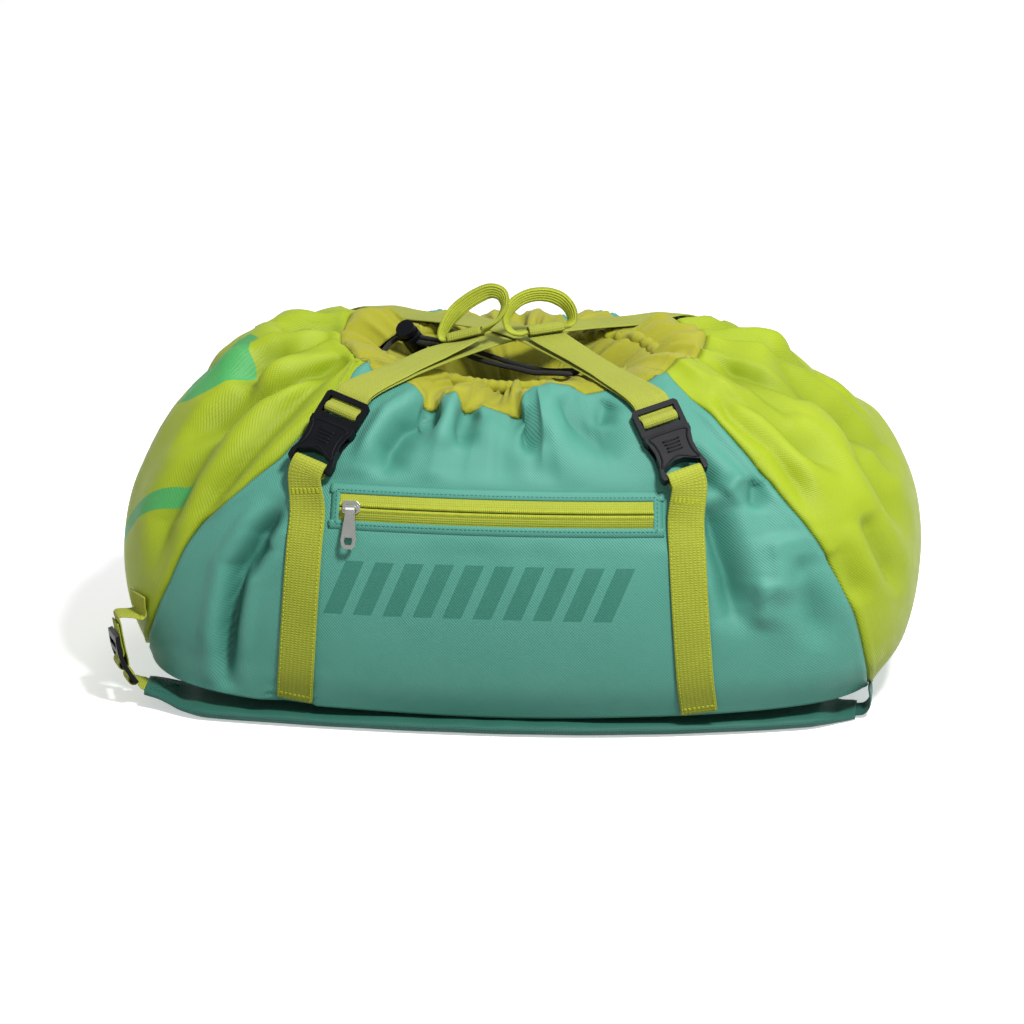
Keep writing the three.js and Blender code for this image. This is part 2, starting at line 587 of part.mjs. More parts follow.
/** The hem's own directions: along its axis, up from it and towards the strap's tail. */
function hemAxes(side) {
  const hem = side > 0 ? RIGHT_HEM : LEFT_HEM;
  const along = hem.along.clone().normalize();
  const up = hem.rise.clone().addScaledVector(along, -hem.rise.dot(along)).normalize();
  return { at: hem.at, along, up, back: new THREE.Vector3().crossVectors(up, along) };
}

/** A ring of webbing; its ends meet inside the hem, where it is bunched together. */
function pullLoop(side) {
  const { at, along, up, back } = hemAxes(side);
  const outline = side > 0 ? RIGHT_RING : LEFT_RING;
  const station = (u, v, width) =>
    ({ at: at.clone().addScaledVector(along, u).addScaledVector(up, v), across: back, width });
  const bunched = (u) => station(u, 0, LOOP.inHem);
  const ring = outline.map(([u, v]) => station(u, v, LOOP.width));
  return ribbon([bunched(0.6), bunched(7), bunched(12.8), ...ring, bunched(-12.8), bunched(-7), bunched(-0.6)],
    LOOP.width, LOOP.thickness, 44);
}

/** Top strap: from the back panel over the mouth, round the plug's bar and back as a tail with a hem. */
function topStrap(side) {
  const frame = buckleFrame(side);
  const lift = side > 0 ? 2.4 : 0; // the right strap crosses over the left one
  const sewn = [0.85, 0.9, 0.95].map((s) => {
    const angle = Math.PI + side * 0.86; // straight behind the crossing, as seen from above
    const normal = normalOf(sackPoint, angle, s);
    return { at: sackPoint(angle, s).addScaledVector(normal, LAY_GAP + 2.5 * WEBBING + 1.8), normal };
  });
  const over = [[77, 66, 236], [40, 34, 238 + 0.6 * lift], [0, -2, 238.4 + lift], [-38, -39, 235.5 + 0.4 * lift], [-68, -68, 230]];
  const points = [...sewn.map((p) => p.at), ...over.map(([x, y, z]) => vec(-side * x, y, z))];
  const normals = [...sewn.map((p) => p.normal), ...over.map(() => vec(0, 0, 1))];
  const tension = lying(points, normals);
  const held = (y, z) => ({ at: inBuckle(frame, 0, y, z), across: acrossOf(frame) });
  const round = (a) => held(BAR.y - 2.75 * Math.sin(degrees(a)), BAR.z - 2.75 * Math.cos(degrees(a)));
  const through = [held(62, 0.4), held(51, 0.7), held(BAR.y + 1.6, 1.2)];
  const wrap = [...[20, 60, 90, 120, 160, 200].map(round), held(47.9, 5.5), held(49.6, 3.6), held(53, 3), held(62, 2.8)];

  const { at, along, up, back } = hemAxes(side);
  const diagonal = vec(0.7, 0.71 * side, 0);
  const tail = [
    { at: vec(side * 68, -67, 232.6), across: diagonal },
    { at: vec(side * 50, -50, 237.5), across: diagonal },
  ];
  const hem = steps(9, -90, 205).map((a) => {
    const spoke = up.clone().multiplyScalar(Math.sin(degrees(a))).addScaledVector(back, Math.cos(degrees(a)));
    return { at: at.clone().addScaledVector(spoke, LOOP.hemRadius), across: along };
  });
  return ribbon([...tension, ...through, ...wrap, ...tail, ...hem], WEBBING_WIDTH, WEBBING, 112);
}

// ---- shoulder strap ----

/** The pad's centre line in plan. */
function padLine(x) {
  const radius = x < 0 ? PAD_BEND.left : PAD_BEND.right;
  return PAD.frontY + PAD.width / 2 + x ** 2 / (2 * radius);
}

const padLift = (x) => PAD_LIFT * smooth((-198 - x) / 45);

function padLayer(low, high) {
  const xs = [PAD.left, -235, -225, -215, -200, ...steps(10, -180, 190), 205, 215, 225, 233, PAD.right];
  const halfWidthAt = (x) => {
    const toEnd = Math.min((x - PAD.left) / 45, (PAD.right - x) / 32);
    return mix(PAD_END_WIDTH / 2, PAD.width / 2, smooth(toEnd));
  };
  const level = (z) => xs.map((x) => [-1, 1].map((edge) => vec(x, padLine(x) + edge * halfWidthAt(x), z + padLift(x))));
  return sheet(level(high), level(low));
}

const backingTop = PAD.skin;
const foamTop = backingTop + PAD.gap + PAD.foam;
const padBacking = () => padLayer(0, backingTop);
const padFoam = () => padLayer(backingTop + PAD.gap, foamTop);
const padFace = () => padLayer(foamTop + PAD.gap, foamTop + PAD.gap + PAD.skin);

// The adjuster: a ladder lock that stands beside the left end of the pad. In its own frame X is its
// width, Y runs up from the pad's bar and Z points away from the bag.
const ADJUSTER = { foot: vec(-251, padLine(PAD.left), 17), head: vec(-264, padLine(PAD.left), 50) };
Object.assign(ADJUSTER, { length: 35.5, halfWidth: 16.5, thickness: 3.2, across: vec(0.33, -0.94, 0) });
const GRIP = { y: 14.25, radius: 3.35 }; // the bar that the adjustable webbing turns round

function adjusterFrame() {
  const along = ADJUSTER.head.clone().sub(ADJUSTER.foot).normalize();
  const across = ADJUSTER.across.clone().addScaledVector(along, -ADJUSTER.across.dot(along)).normalize();
  const out = new THREE.Vector3().crossVectors(across, along).normalize();
  return new THREE.Matrix4().makeBasis(across, along, out).setPosition(ADJUSTER.foot);
}

const adjusterArch = (y) => 3.2 * Math.sin((Math.PI * y) / ADJUSTER.length);

function adjuster() {
  const ys = steps(10, 0, ADJUSTER.length);
  const lower = ys.map((y) => [y, adjusterArch(y)]);
  const upper = ys.map((y) => [y, adjusterArch(y) + ADJUSTER.thickness]).reverse();
  const strip = plate([...lower, ...upper], -ADJUSTER.halfWidth, ADJUSTER.halfWidth);
  // The profile is drawn in Y and Z and thickened across the width.
  strip.applyMatrix4(new THREE.Matrix4().makeBasis(vec(0, 1, 0), vec(0, 0, 1), vec(1, 0, 0)));
  const slots = [[3.7, 12.8], [15.7, 22.5], [26.5, 31]].map((ys) => box([-13.2, 13.2], ys, [-4, 14]));
  return cut(strip, ...slots).applyMatrix4(adjusterFrame());
}

/** The short webbing that is sewn into the pad's end and goes round the adjuster's lower bar. */
function padWebbing() {
  const frame = adjusterFrame();
  const y = padLine(PAD.left);
  const held = (along, out) => ({ at: vec(0, along, out).applyMatrix4(frame), across: acrossOf(frame) });
  const flat = (x, z) => ({ at: vec(x, y, z), across: vec(0, -1, 0) });
  const round = (a) => held(2 - 3.7 * Math.sin(degrees(a)), 2.2 - 3.7 * Math.cos(degrees(a)));
  const wrap = [60, 90, 120, 150, 180, 210, 240, 270, 300].map(round);
  return ribbon([flat(PAD.left - 1.2, 14), flat(PAD.left - 3, 13.6), ...wrap], WEBBING_WIDTH - 1, 1.3, 28);
}

/** The adjustable webbing: from the bag's side down to the adjuster, over its bar and up as a tail. */
function adjusterWebbing() {
  const frame = adjusterFrame();
  const held = (y, z) => ({ at: vec(0, y, z).applyMatrix4(frame), across: acrossOf(frame) });
  const sewn = [0.28, 0.25, 0.22].map((s) => {
    const angle = degrees(-69);
    const across = sackPoint(angle + 0.01, s).sub(sackPoint(angle - 0.01, s)).normalize();
    return { at: sackPoint(angle, s).addScaledVector(normalOf(sackPoint, angle, s), LAY_GAP + 0.65), across };
  });
  const load = [held(46, -5), held(41, -4), held(36, -2.8), held(30, -1.6), held(24, -0.4), held(18, 0.4)];
  const middle = adjusterArch(GRIP.y) + ADJUSTER.thickness / 2;
  const round = (a) => held(GRIP.y - GRIP.radius * Math.sin(degrees(a)), middle - GRIP.radius * Math.cos(degrees(a)));
  const wrap = [0, 35, 70, 110, 145, 180, 215].map(round);
  const tail = [held(18.6, 4.2), held(20.8, 2), held(25, 1.2), held(31, 0.1), held(36, -1.1), held(42, -2.2)];
  return ribbon([...sewn, ...load, ...wrap, ...tail], WEBBING_WIDTH - 1, 1.3, 80);
}

/** The fixed webbing at the right end, from the pad up to the seam at the corner of the base. */
function anchorWebbing() {
  const y = padLine(PAD.right);
  const station = (x, z) => ({ at: vec(x, y, z), across: vec(0, 1, 0) });
  return ribbon([station(PAD.right + 1.4, 5), station(PAD.right + 7, 5.6), station(PAD.right + 12, 9), station(PAD.right + 13, 15), station(PAD.right + 10.5, 21)], WEBBING_WIDTH, WEBBING, 14);
}

// ---- the object ----
const bag = new THREE.Group();

function add(name, geometry, look, parent = bag) {
  const mesh = new THREE.Mesh(geometry, new THREE.MeshStandardMaterial(look));
  mesh.name = name;
  parent.add(mesh);
  return mesh;
}

add('front_panel', frontPanel(), JADE);
add('back_panel', backPanel(), JADE);
add('right_side_panel', rightPanel(), LIME);
add('left_side_panel', leftPanel(), LIME);
add('base_panel', basePanel(), JADE);
add('pocket_lining', pocketLining(), JADE);

add('collar_front', collar(-COLLAR_SIDE, COLLAR_SIDE, 12), PALE_LIME);
add('collar_right', collar(COLLAR_SIDE, 180 - COLLAR_SIDE, 8), PALE_LIME);
add('collar_back', collar(180 - COLLAR_SIDE, 180 + COLLAR_SIDE, 12), PALE_LIME);
add('collar_left', collar(180 + COLLAR_SIDE, 360 - COLLAR_SIDE, 8), PALE_LIME);
add('drawcord_casing', casing(), PALE_LIME);
add('drawcord', drawcord(), BLACK_CORD);
add('drawcord_tail', drawcordTail(), BLACK_CORD);
add('cord_lock_body', lockBody(), BLACK_PLASTIC);
add('cord_lock_button', lockButton(), BLACK_PLASTIC);
add('cord_lock_spring', lockSpring(), STEEL);

add('zip_tape_upper', zipBand(0.2, ZIP_HALF_HEIGHT - 0.5, -FABRIC, 0), WEBBING_LIME);
add('zip_tape_lower', zipBand(0.5 - ZIP_HALF_HEIGHT, -0.2, -FABRIC, 0), WEBBING_LIME);
add('zip_slider', zipSlider(), STEEL);
add('zip_pull', zipPull(), STEEL);

for (const [name, side] of [['left', -1], ['right', 1]]) {
  const buckle = new THREE.Group();
  buckle.applyMatrix4(buckleFrame(side));
  bag.add(buckle);
  add(`${name}_buckle_socket`, socketShape(), BLACK_PLASTIC, buckle);
  add(`${name}_buckle_plug`, plugShape(), BLACK_PLASTIC, buckle);
  add(`${name}_front_webbing`, frontWebbing(side), WEBBING_LIME);
  add(`${name}_back_webbing`, backWebbing(side), WEBBING_LIME);
  add(`${name}_top_strap`, topStrap(side), WEBBING_LIME);
  add(`${name}_pull_loop`, pullLoop(side), WEBBING_LIME);
}

add('shoulder_pad_backing', padBacking(), JADE);
add('shoulder_pad_foam', padFoam(), FOAM);
add('shoulder_pad_face', padFace(), JADE);
add('shoulder_pad_webbing', padWebbing(), WEBBING_LIME);
add('strap_adjuster', adjuster(), BLACK_PLASTIC);
add('adjuster_webbing', adjusterWebbing(), WEBBING_LIME);
add('shoulder_anchor_webbing', anchorWebbing(), JADE);

export default bag;
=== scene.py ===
import json
import math

import bpy
import numpy as np
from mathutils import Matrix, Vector

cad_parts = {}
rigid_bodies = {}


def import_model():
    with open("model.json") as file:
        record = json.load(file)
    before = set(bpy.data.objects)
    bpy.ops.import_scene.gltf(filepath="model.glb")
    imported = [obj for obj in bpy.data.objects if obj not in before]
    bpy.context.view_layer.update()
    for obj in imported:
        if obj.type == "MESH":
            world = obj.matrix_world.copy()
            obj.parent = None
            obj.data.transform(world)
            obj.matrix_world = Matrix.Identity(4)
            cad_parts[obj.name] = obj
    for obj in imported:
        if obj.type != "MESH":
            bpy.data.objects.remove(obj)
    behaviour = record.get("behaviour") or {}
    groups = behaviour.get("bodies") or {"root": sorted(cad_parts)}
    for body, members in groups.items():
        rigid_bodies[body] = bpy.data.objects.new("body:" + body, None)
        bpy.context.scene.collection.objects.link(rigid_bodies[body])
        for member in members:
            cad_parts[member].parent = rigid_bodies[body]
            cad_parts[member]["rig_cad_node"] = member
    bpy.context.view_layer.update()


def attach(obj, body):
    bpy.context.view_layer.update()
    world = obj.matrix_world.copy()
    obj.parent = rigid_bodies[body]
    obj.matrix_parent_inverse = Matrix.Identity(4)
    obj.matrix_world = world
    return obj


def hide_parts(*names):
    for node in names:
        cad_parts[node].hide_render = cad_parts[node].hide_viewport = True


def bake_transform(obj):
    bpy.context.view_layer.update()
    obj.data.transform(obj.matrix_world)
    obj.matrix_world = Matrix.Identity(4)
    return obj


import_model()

MM = 0.001
rng = np.random.default_rng(7)

# ---- driving sizes, the same as the frame's, in millimetres ----
LOOPS = {
    "s": [0.0, 0.15, 0.35, 0.55, 0.75, 0.9, 1.0],
    "width": [244, 261, 268, 259, 230, 181, 131],
    "depth": [146, 156, 160, 156, 142, 119, 100],
    "front": [11, 38, 84, 131, 174, 203, 214],
    "side": [20, 46, 92, 141, 190, 223, 234],
    "square": [3.6, 3.3, 3.0, 2.8, 2.6, 2.35, 2.1],
    "panel": [237, 236, 226, 204, 170, 134, 106],
}
BACK_RISE = 10
LEFT_LIFT = 9
MOUTH = {"x": 2, "half_width": 96, "half_depth": 57, "height": 217, "side_rise": 7}
COLLAR_CREST = 3

# ---- camera and light ----
CAMERA = {"azimuth": 5.0, "elevation": 18.0, "lens": 250.0, "distance": 4.9}
CAMERA_TARGET = Vector((-0.002, 0, 0.1097))


def add_object(name, data):
    made = bpy.data.objects.new(name, data)
    bpy.context.scene.collection.objects.link(made)
    return made


def look_from(azimuth, elevation, distance, target):
    """The place and the turn of a camera or a lamp that looks at the target."""
    a, e = math.radians(azimuth), math.radians(elevation)
    back = Vector((math.sin(a) * math.cos(e), -math.cos(a) * math.cos(e), math.sin(e)))
    return target + back * distance, (-back).to_track_quat("-Z", "Y")


def make_camera():
    data = bpy.data.cameras.new("camera")
    data.lens = CAMERA["lens"]
    camera = add_object("camera", data)
    camera.rotation_mode = "QUATERNION"
    where = look_from(CAMERA["azimuth"], CAMERA["elevation"], CAMERA["distance"], CAMERA_TARGET)
    camera.location, camera.rotation_quaternion = where
    bpy.context.scene.camera = camera


def area_light(name, azimuth, elevation, distance, size, power):
    data = bpy.data.lights.new(name, "AREA")
    data.shape = "DISK"
    data.size = size
    data.energy = power
    light = add_object(name, data)
    light.rotation_mode = "QUATERNION"
    light.location, light.rotation_quaternion = look_from(azimuth, elevation, distance, Vector((0, 0, 0.1)))


def make_stage():
    world = bpy.data.worlds.new("world")
    world.use_nodes = True
    background = world.node_tree.nodes["Background"].inputs
    background["Color"].default_value = (1, 1, 1, 1)
    background["Strength"].default_value = 0.35
    bpy.context.scene.world = world
    area_light("key", 32, 52, 2.2, 0.36, 54)
    area_light("left", -85, 6, 2.4, 1.0, 6)
    area_light("right", 90, 6, 2.4, 1.0, 6)
    area_light("top", 170, 68, 2.2, 0.8, 6)
    bpy.context.scene.view_settings.view_transform = "Standard"


make_camera()
make_stage()

# ---- the sack's surface, in millimetres ----


def hermite(t, a, b, slope_a, slope_b):
    """The smooth curve from a to b that leaves and arrives at the given slopes, at t from 0 to 1."""
    return (
        (2 * t**3 - 3 * t**2 + 1) * a
        + (t**3 - 2 * t**2 + t) * slope_a
        + (3 * t**2 - 2 * t**3) * b
        + (t**3 - t**2) * slope_b
    )


def column(name, s):
    """One value of LOOPS at s (an array), on the same smooth curve as the frame's."""
    knots, values = np.array(LOOPS["s"]), np.array(LOOPS[name], float)
    s = np.asarray(s, float)
    i = np.clip(np.searchsorted(knots, s, side="right") - 1, 0, len(knots) - 2)
    before, after = np.maximum(i - 1, 0), np.minimum(i + 2, len(knots) - 1)
    span = knots[i + 1] - knots[i]
    slope_a = (values[i + 1] - values[before]) / (knots[i + 1] - knots[before])
    slope_b = (values[after] - values[i]) / (knots[after] - knots[i])
    return hermite((s - knots[i]) / span, values[i], values[i + 1], span * slope_a, span * slope_b)


def as_grids(angle, s):
    return np.broadcast_arrays(np.asarray(angle, float), np.asarray(s, float))


def super_radius(angle, half_width, half_depth, power):
    across = np.abs(np.sin(angle)) / half_width
    along = np.abs(np.cos(angle)) / half_depth
    return (across**power + along**power) ** (-1 / power)


def seam_height(angle, s):
    to_side = np.sin(angle) ** 2
    to_back = np.maximum(0, -np.cos(angle)) ** 2
    left = np.maximum(0, -np.sin(angle)) ** 6
    front = column("front", s)
    height = front + (column("side", s) - front) * to_side
    return height + BACK_RISE * s * to_back + LEFT_LIFT * left * (1 - s) ** 4


def sack_point(angle, s):
    angle, s = as_grids(angle, s)
    radius = super_radius(angle, column("width", s), column("depth", s), column("square", s))
    return np.stack([radius * np.sin(angle), -radius * np.cos(angle), seam_height(angle, s)], -1)


def rim_point(angle):
    angle = np.asarray(angle, float)
    radius = super_radius(angle, MOUTH["half_width"], MOUTH["half_depth"], 2)
    z = MOUTH["height"] + MOUTH["side_rise"] * np.sin(angle) ** 2
    return np.stack([MOUTH["x"] + radius * np.sin(angle), -radius * np.cos(angle), z], -1)


def collar_point(angle, c):
    angle, c = as_grids(angle, c)
    seam, rim = sack_point(angle, 1.0), rim_point(angle)
    point = seam + (rim - seam) * c[..., None]
    point[..., 2] = seam[..., 2] + (rim[..., 2] - seam[..., 2]) * c**2 + COLLAR_CREST * np.sin(np.pi * c)
    return point


def unit(v):
    return v / np.maximum(np.linalg.norm(v, axis=-1, keepdims=True), 1e-9)


def normal_of(surface, angle, s):
    step = 1e-3
    angle, s = as_grids(angle, s)
    around = surface(angle + step, s) - surface(angle - step, s)
    up = surface(angle, np.minimum(1, s + step)) - surface(angle, np.maximum(0, s - step))
    return unit(np.cross(around, up))


def angle_at_x(x, s, back=False):
    power = column("square", s)
    share = np.minimum(1, np.abs(x) / column("width", s))
    y = column("depth", s) * (1 - share**power) ** (1 / power)
    return np.arctan2(x, -y if back else y)


# How much nearer to the middle the front's left seam is than its right one, at s.
LEFT_SEAM = {"s": [0, 0.15, 0.35, 0.55, 0.65, 0.75, 0.9, 1.0], "inward": [-5, -7, 0, 1, 14, 21, 20, 5]}


def seam_angle(s, left=False):
    inward = np.interp(s, LEFT_SEAM["s"], LEFT_SEAM["inward"]) if left else 0
    return angle_at_x(column("panel", s) - inward, s)


# ---- the cloth of the sack and its collar: one skin of rows and columns ----
# Columns of cloth from seam to seam, starting at the left seam of the front.
PANELS = {"front": 100, "right": 52, "back": 100, "left": 52}
SACK_ROWS = 62
COLLAR_ROWS = 14


def skin_grid():
    """Angle of each row and column, with every panel's edge columns on its seams."""
    s = np.concatenate([np.linspace(0, 1, SACK_ROWS), np.ones(COLLAR_ROWS)])
    seam, left = seam_angle(s), seam_angle(s, left=True)
    edges = [-left, seam, np.pi - seam, np.pi + seam, 2 * np.pi - left]
    parts = []
    for count, low, high in zip(PANELS.values(), edges[:-1], edges[1:]):
        t = np.arange(count) / count
        parts.append(low[:, None] + (high - low)[:, None] * t)
    return np.concatenate(parts, 1), s


def smooth(t):
    """0 up to t = 0, 1 from t = 1, and a smooth rise between."""
    t = np.clip(t, 0, 1)
    return t * t * (3 - 2 * t)


def bell(distance, width):
    """1 at no distance, and next to nothing from twice the width on."""
    return np.exp(-((distance / width) ** 2))


# ---- how the cloth is made: more fabric than the shape needs, held softly, so that it gathers ----
GATHER = {"s": [0, 0.35, 0.6, 0.8, 0.92, 1.0], "extra": [0.015, 0.04, 0.09, 0.17, 0.26, 0.34]}
SIM_FRAMES = 36
CAP = 13.0  # the furthest that cloth may move from where it started, in millimetres


def wave(angle, counts, strength):
    """A seeded sum of waves round the sack."""
    total = 0
    for count in counts:
        total = total + strength * rng.uniform(0.5, 1) * np.sin(count * angle + rng.uniform(0, 2 * np.pi))
    return total


SKIN_INSET = 0.4  # the cloth's outside lies this far inside the frame's panels
ZIP = {
    "half_length": 106.0, "half_height": 9.6, "height": 157.0, "y": -149.198, "radius": 934.18,
    "centre_y": 784.982, "let_in": 3.2,
}
ZIP_NORMAL = np.array([0, -0.94558, 0.32539])
STRAP_X = {"low": 137.0, "high": 125.0, "top_s": 0.735, "front_end": 0.645, "back_end": 0.93}


def strap_x(s):
    return STRAP_X["low"] + (STRAP_X["high"] - STRAP_X["low"]) * s / STRAP_X["top_s"]


def sewn_down(points, s):
    """1 where webbing or the zip is sewn to the cloth, 0 elsewhere, for the skin's rows and columns."""
    x, y, z = np.moveaxis(points, -1, 0)
    beside = np.abs(np.abs(x) - strap_x(s)[:, None])
    end = np.where(y < 0, STRAP_X["front_end"], STRAP_X["back_end"])
    webbing = smooth((15 - beside) / 4) * (s[:, None] < end)
    gap = np.maximum(np.abs(x) - ZIP["half_length"], np.abs(z - ZIP["height"]) - ZIP["half_height"])
    zipped = smooth((11 - gap) / 6) * (y < 0)
    return np.maximum(webbing, zipped) * (np.arange(len(s)) < SACK_ROWS)[:, None]


def start_shape(angle, s):
    """Where each point of cloth starts: on the CAD surface, with its first slight waves."""
    sack = sack_point(angle[:SACK_ROWS], s[:SACK_ROWS, None])
    c = np.linspace(0, 1, COLLAR_ROWS + 1)[1:]
    collar = collar_point(angle[SACK_ROWS:], c[:, None])
    points = np.concatenate([sack, collar])
    normals = np.concatenate(
        [
            normal_of(sack_point, angle[:SACK_ROWS], s[:SACK_ROWS, None]),
            normal_of(collar_point, angle[SACK_ROWS:], c[:, None]),
        ]
    )
    share = np.concatenate([smooth((s[:SACK_ROWS] - 0.3) / 0.7) * 2.4, 2.4 + 0.6 * c])
    waves = wave(angle[-1], [13, 17, 23, 29], 0.6)
    ripple = wave(angle[-1], [53, 61, 71], 0.4) * np.concatenate([0 * s[:SACK_ROWS], c])[:, None]
    away = share[:, None] * waves + ripple
    away = away * (1 - sewn_down(points, s)) - SKIN_INSET
    return points + normals * away[..., None]


def cut_shape(points, s):
    """The same cloth at its cut size: wider round than the space it fills, and as long from hem to hem."""
    extra = np.interp(s, GATHER["s"], GATHER["extra"])
    cut = points.copy()
    cut[:SACK_ROWS, :, :2] *= 1 + extra[:SACK_ROWS, None, None]
    for i in range(1, len(points)):
        if i >= SACK_ROWS:
            cut[i, :, :2] = cut[SACK_ROWS - 1, :, :2]
        length = np.linalg.norm(points[i] - points[i - 1], axis=-1)
        out = np.linalg.norm(cut[i, :, :2] - cut[i - 1, :, :2], axis=-1)
        rise = np.sqrt(np.maximum(length**2 - out**2, (0.2 * length) ** 2))
        cut[i, :, 2] = cut[i - 1, :, 2] + rise
    return cut


def grid_faces(rows, columns, around=True, along=False):
    """The faces of a grid, which may close around its columns and along its rows."""
    i, j = np.meshgrid(np.arange(rows - (not along)), np.arange(columns - (not around)), indexing="ij")
    k, n = (j + 1) % columns, (i + 1) % rows
    return np.stack([i * columns + j, i * columns + k, n * columns + k, n * columns + j], -1).reshape(-1, 4)


def tube_faces(rows, columns, flip=False):
    """The faces of a tube with both of its ends closed."""
    faces = grid_faces(rows, columns).tolist()
    faces += [list(range(columns))[::-1], [(rows - 1) * columns + c for c in range(columns)]]
    return [face[::-1] for face in faces] if flip else faces


def make_mesh(name, points, faces, uv=None):
    """A mesh object from points in millimetres; uv holds one pair for each point, in metres."""
    mesh = bpy.data.meshes.new(name)
    faces = faces.tolist() if isinstance(faces, np.ndarray) else faces
    mesh.from_pydata((np.asarray(points).reshape(-1, 3) * MM).tolist(), [], faces)
    if uv is not None:
        layer = mesh.uv_layers.new(name="cloth")
        index = np.zeros(len(mesh.loops), np.int32)
        mesh.loops.foreach_get("vertex_index", index)
        layer.data.foreach_set("uv", np.asarray(uv, np.float32).reshape(-1, 2)[index].ravel())
    mesh.polygons.foreach_set("use_smooth", [True] * len(mesh.polygons))
    mesh.validate()
    return add_object(name, mesh)


def thicken(piece, thickness, offset=-1):
    """Gives a sheet its thickness, in millimetres: inwards, or to both sides with an offset of 0."""
    modifier = piece.modifiers.new("thickness", "SOLIDIFY")
    modifier.thickness = thickness * MM
    modifier.offset = offset


CLOTH = {
    "quality": 5,
    "mass": 0.1,
    "vertex_group_mass": "hold",
    "pin_stiffness": 1.0,
    "tension_stiffness": 15,
    "compression_stiffness": 60,
    "shear_stiffness": 4,
    "bending_stiffness": 0.08,
    "tension_damping": 5,
    "air_damping": 2,
}


def simulate(points, cut, hold):
    """Lets the cloth settle between its cut size and where it is held; returns its points."""
    rows, columns = points.shape[:2]
    cloth = make_mesh("cloth_at_work", points, grid_faces(rows, columns))
    cloth.shape_key_add(name="Basis")
    key = cloth.shape_key_add(name="cut")
    key.data.foreach_set("co", (cut * MM).astype(np.float32).ravel())
    key.value = 0
    group = cloth.vertex_groups.new(name="hold")
    levels = np.round(hold.ravel() * 100).astype(int)
    for level in np.unique(levels):
        group.add(np.nonzero(levels == level)[0].tolist(), level / 100, "REPLACE")
    modifier = cloth.modifiers.new("cloth", "CLOTH")
    settings = modifier.settings
    for setting, value in CLOTH.items():
        setattr(settings, setting, value)
    settings.rest_shape_key = cloth.data.shape_keys.key_blocks["cut"]
    settings.effector_weights.gravity = 0
    modifier.collision_settings.use_collision = False
    modifier.point_cache.frame_start, modifier.point_cache.frame_end = 1, SIM_FRAMES
    scene = bpy.context.scene
    for number in range(1, SIM_FRAMES + 1):
        scene.frame_set(number)
    evaluated = cloth.evaluated_get(bpy.context.evaluated_depsgraph_get())
    found = np.zeros(len(cloth.data.vertices) * 3, np.float32)
    evaluated.data.vertices.foreach_get("co", found)
    scene.frame_set(1)
    bpy.data.objects.remove(cloth)
    moved = found.reshape(points.shape) / MM - points
    far = np.linalg.norm(moved, axis=-1, keepdims=True)
    return points + moved * np.minimum(1, CAP / np.maximum(far, 1e-6))


HOLD = {"s": [0, 0.3, 0.8, 1], "sack": [0.5, 0.34, 0.22, 0.2], "collar": 0.16}


def sack_cloth():
    angle, s = skin_grid()
    start = start_shape(angle, s)
    hold = np.full(start.shape[:2], HOLD["collar"])
    hold[:SACK_ROWS] = np.interp(s[:SACK_ROWS], HOLD["s"], HOLD["sack"])[:, None]
    hold = np.maximum(hold, sewn_down(start, s))
    hold[:2] = 1
    hold[-1:] = 1
    return simulate(start, cut_shape(start, s), hold), angle, s


# ---- grids and curves ----


def finer(a, closed):
    """a with a point added between each two along its first axis, on a smooth curve."""
    if closed:
        padded = np.concatenate([a[-1:], a, a[:2]])
    else:
        padded = np.concatenate([2 * a[:1] - a[1:2], a, 2 * a[-1:] - a[-2:-1]])
    count = len(padded) - 3
    before, here, after, beyond = (padded[k : k + count] for k in range(4))
    middle = (9 * (here + after) - before - beyond) / 16
    out = np.empty((len(a) + count,) + a.shape[1:])
    out[0::2], out[1::2] = a, middle
    return out


def finer_grid(points):
    return np.swapaxes(finer(np.swapaxes(finer(points, False), 0, 1), True), 0, 1)


def grid_normals(points):
    """The way that a grid faces at each of its points; it closes around its columns."""
    wide = np.concatenate([points[:, -1:], points, points[:, :1]], 1)
    return unit(np.cross(np.gradient(wide, axis=1)[:, 1:-1], np.gradient(points, axis=0)))


def lengths(points, axis=0):
    """Distance along a line of points from its first one."""
    step = np.linalg.norm(np.diff(points, axis=axis), axis=-1)
    first = np.zeros_like(np.take(step, [0], axis))
    return np.concatenate([first, np.cumsum(step, axis)], axis)


def curve_through(points, closed=False, each=16):
    """Centripetal Catmull-Rom through the points, as the frame's, with each point's place on it."""
    p = np.asarray(points, float)
    if closed:
        p = np.concatenate([p[-1:], p, p[:2]])
    else:
        p = np.concatenate([[2 * p[0] - p[1]], p, [2 * p[-1] - p[-2]]])
    gap = np.maximum(np.linalg.norm(np.diff(p, axis=0), axis=1) ** 0.5, 1e-4)[:, None]
    a, b, c, d = p[:-3], p[1:-2], p[2:-1], p[3:]
    d0, d1, d2 = gap[:-2], gap[1:-1], gap[2:]
    slope_b = ((b - a) / d0 - (c - a) / (d0 + d1) + (c - b) / d1) * d1
    slope_c = ((c - b) / d1 - (d - b) / (d1 + d2) + (d - c) / d2) * d1
    t = (np.arange(each) / each)[None, :, None]
    b, c, slope_b, slope_c = (v[:, None] for v in (b, c, slope_b, slope_c))
    line = hermite(t, b, c, slope_b, slope_c).reshape(-1, 3)
    where = np.arange(len(line)) / each
    if not closed:
        line = np.concatenate([line, p[-2:-1]])
        where = np.append(where, len(p) - 3)
    return line, where


def vectors_at(at, knots, vectors):
    """Vectors that are known at the knots, at the places between them."""
    return np.stack([np.interp(at, knots, vectors[:, k]) for k in range(3)], -1)


def evenly(line, where, step):
    """Points step apart along the line, with their places on it."""
    along = lengths(line)
    count = max(2, int(round(along[-1] / step)) + 1)
    at = np.linspace(0, along[-1], count)
    return vectors_at(at, along, line), np.interp(at, along, where), at


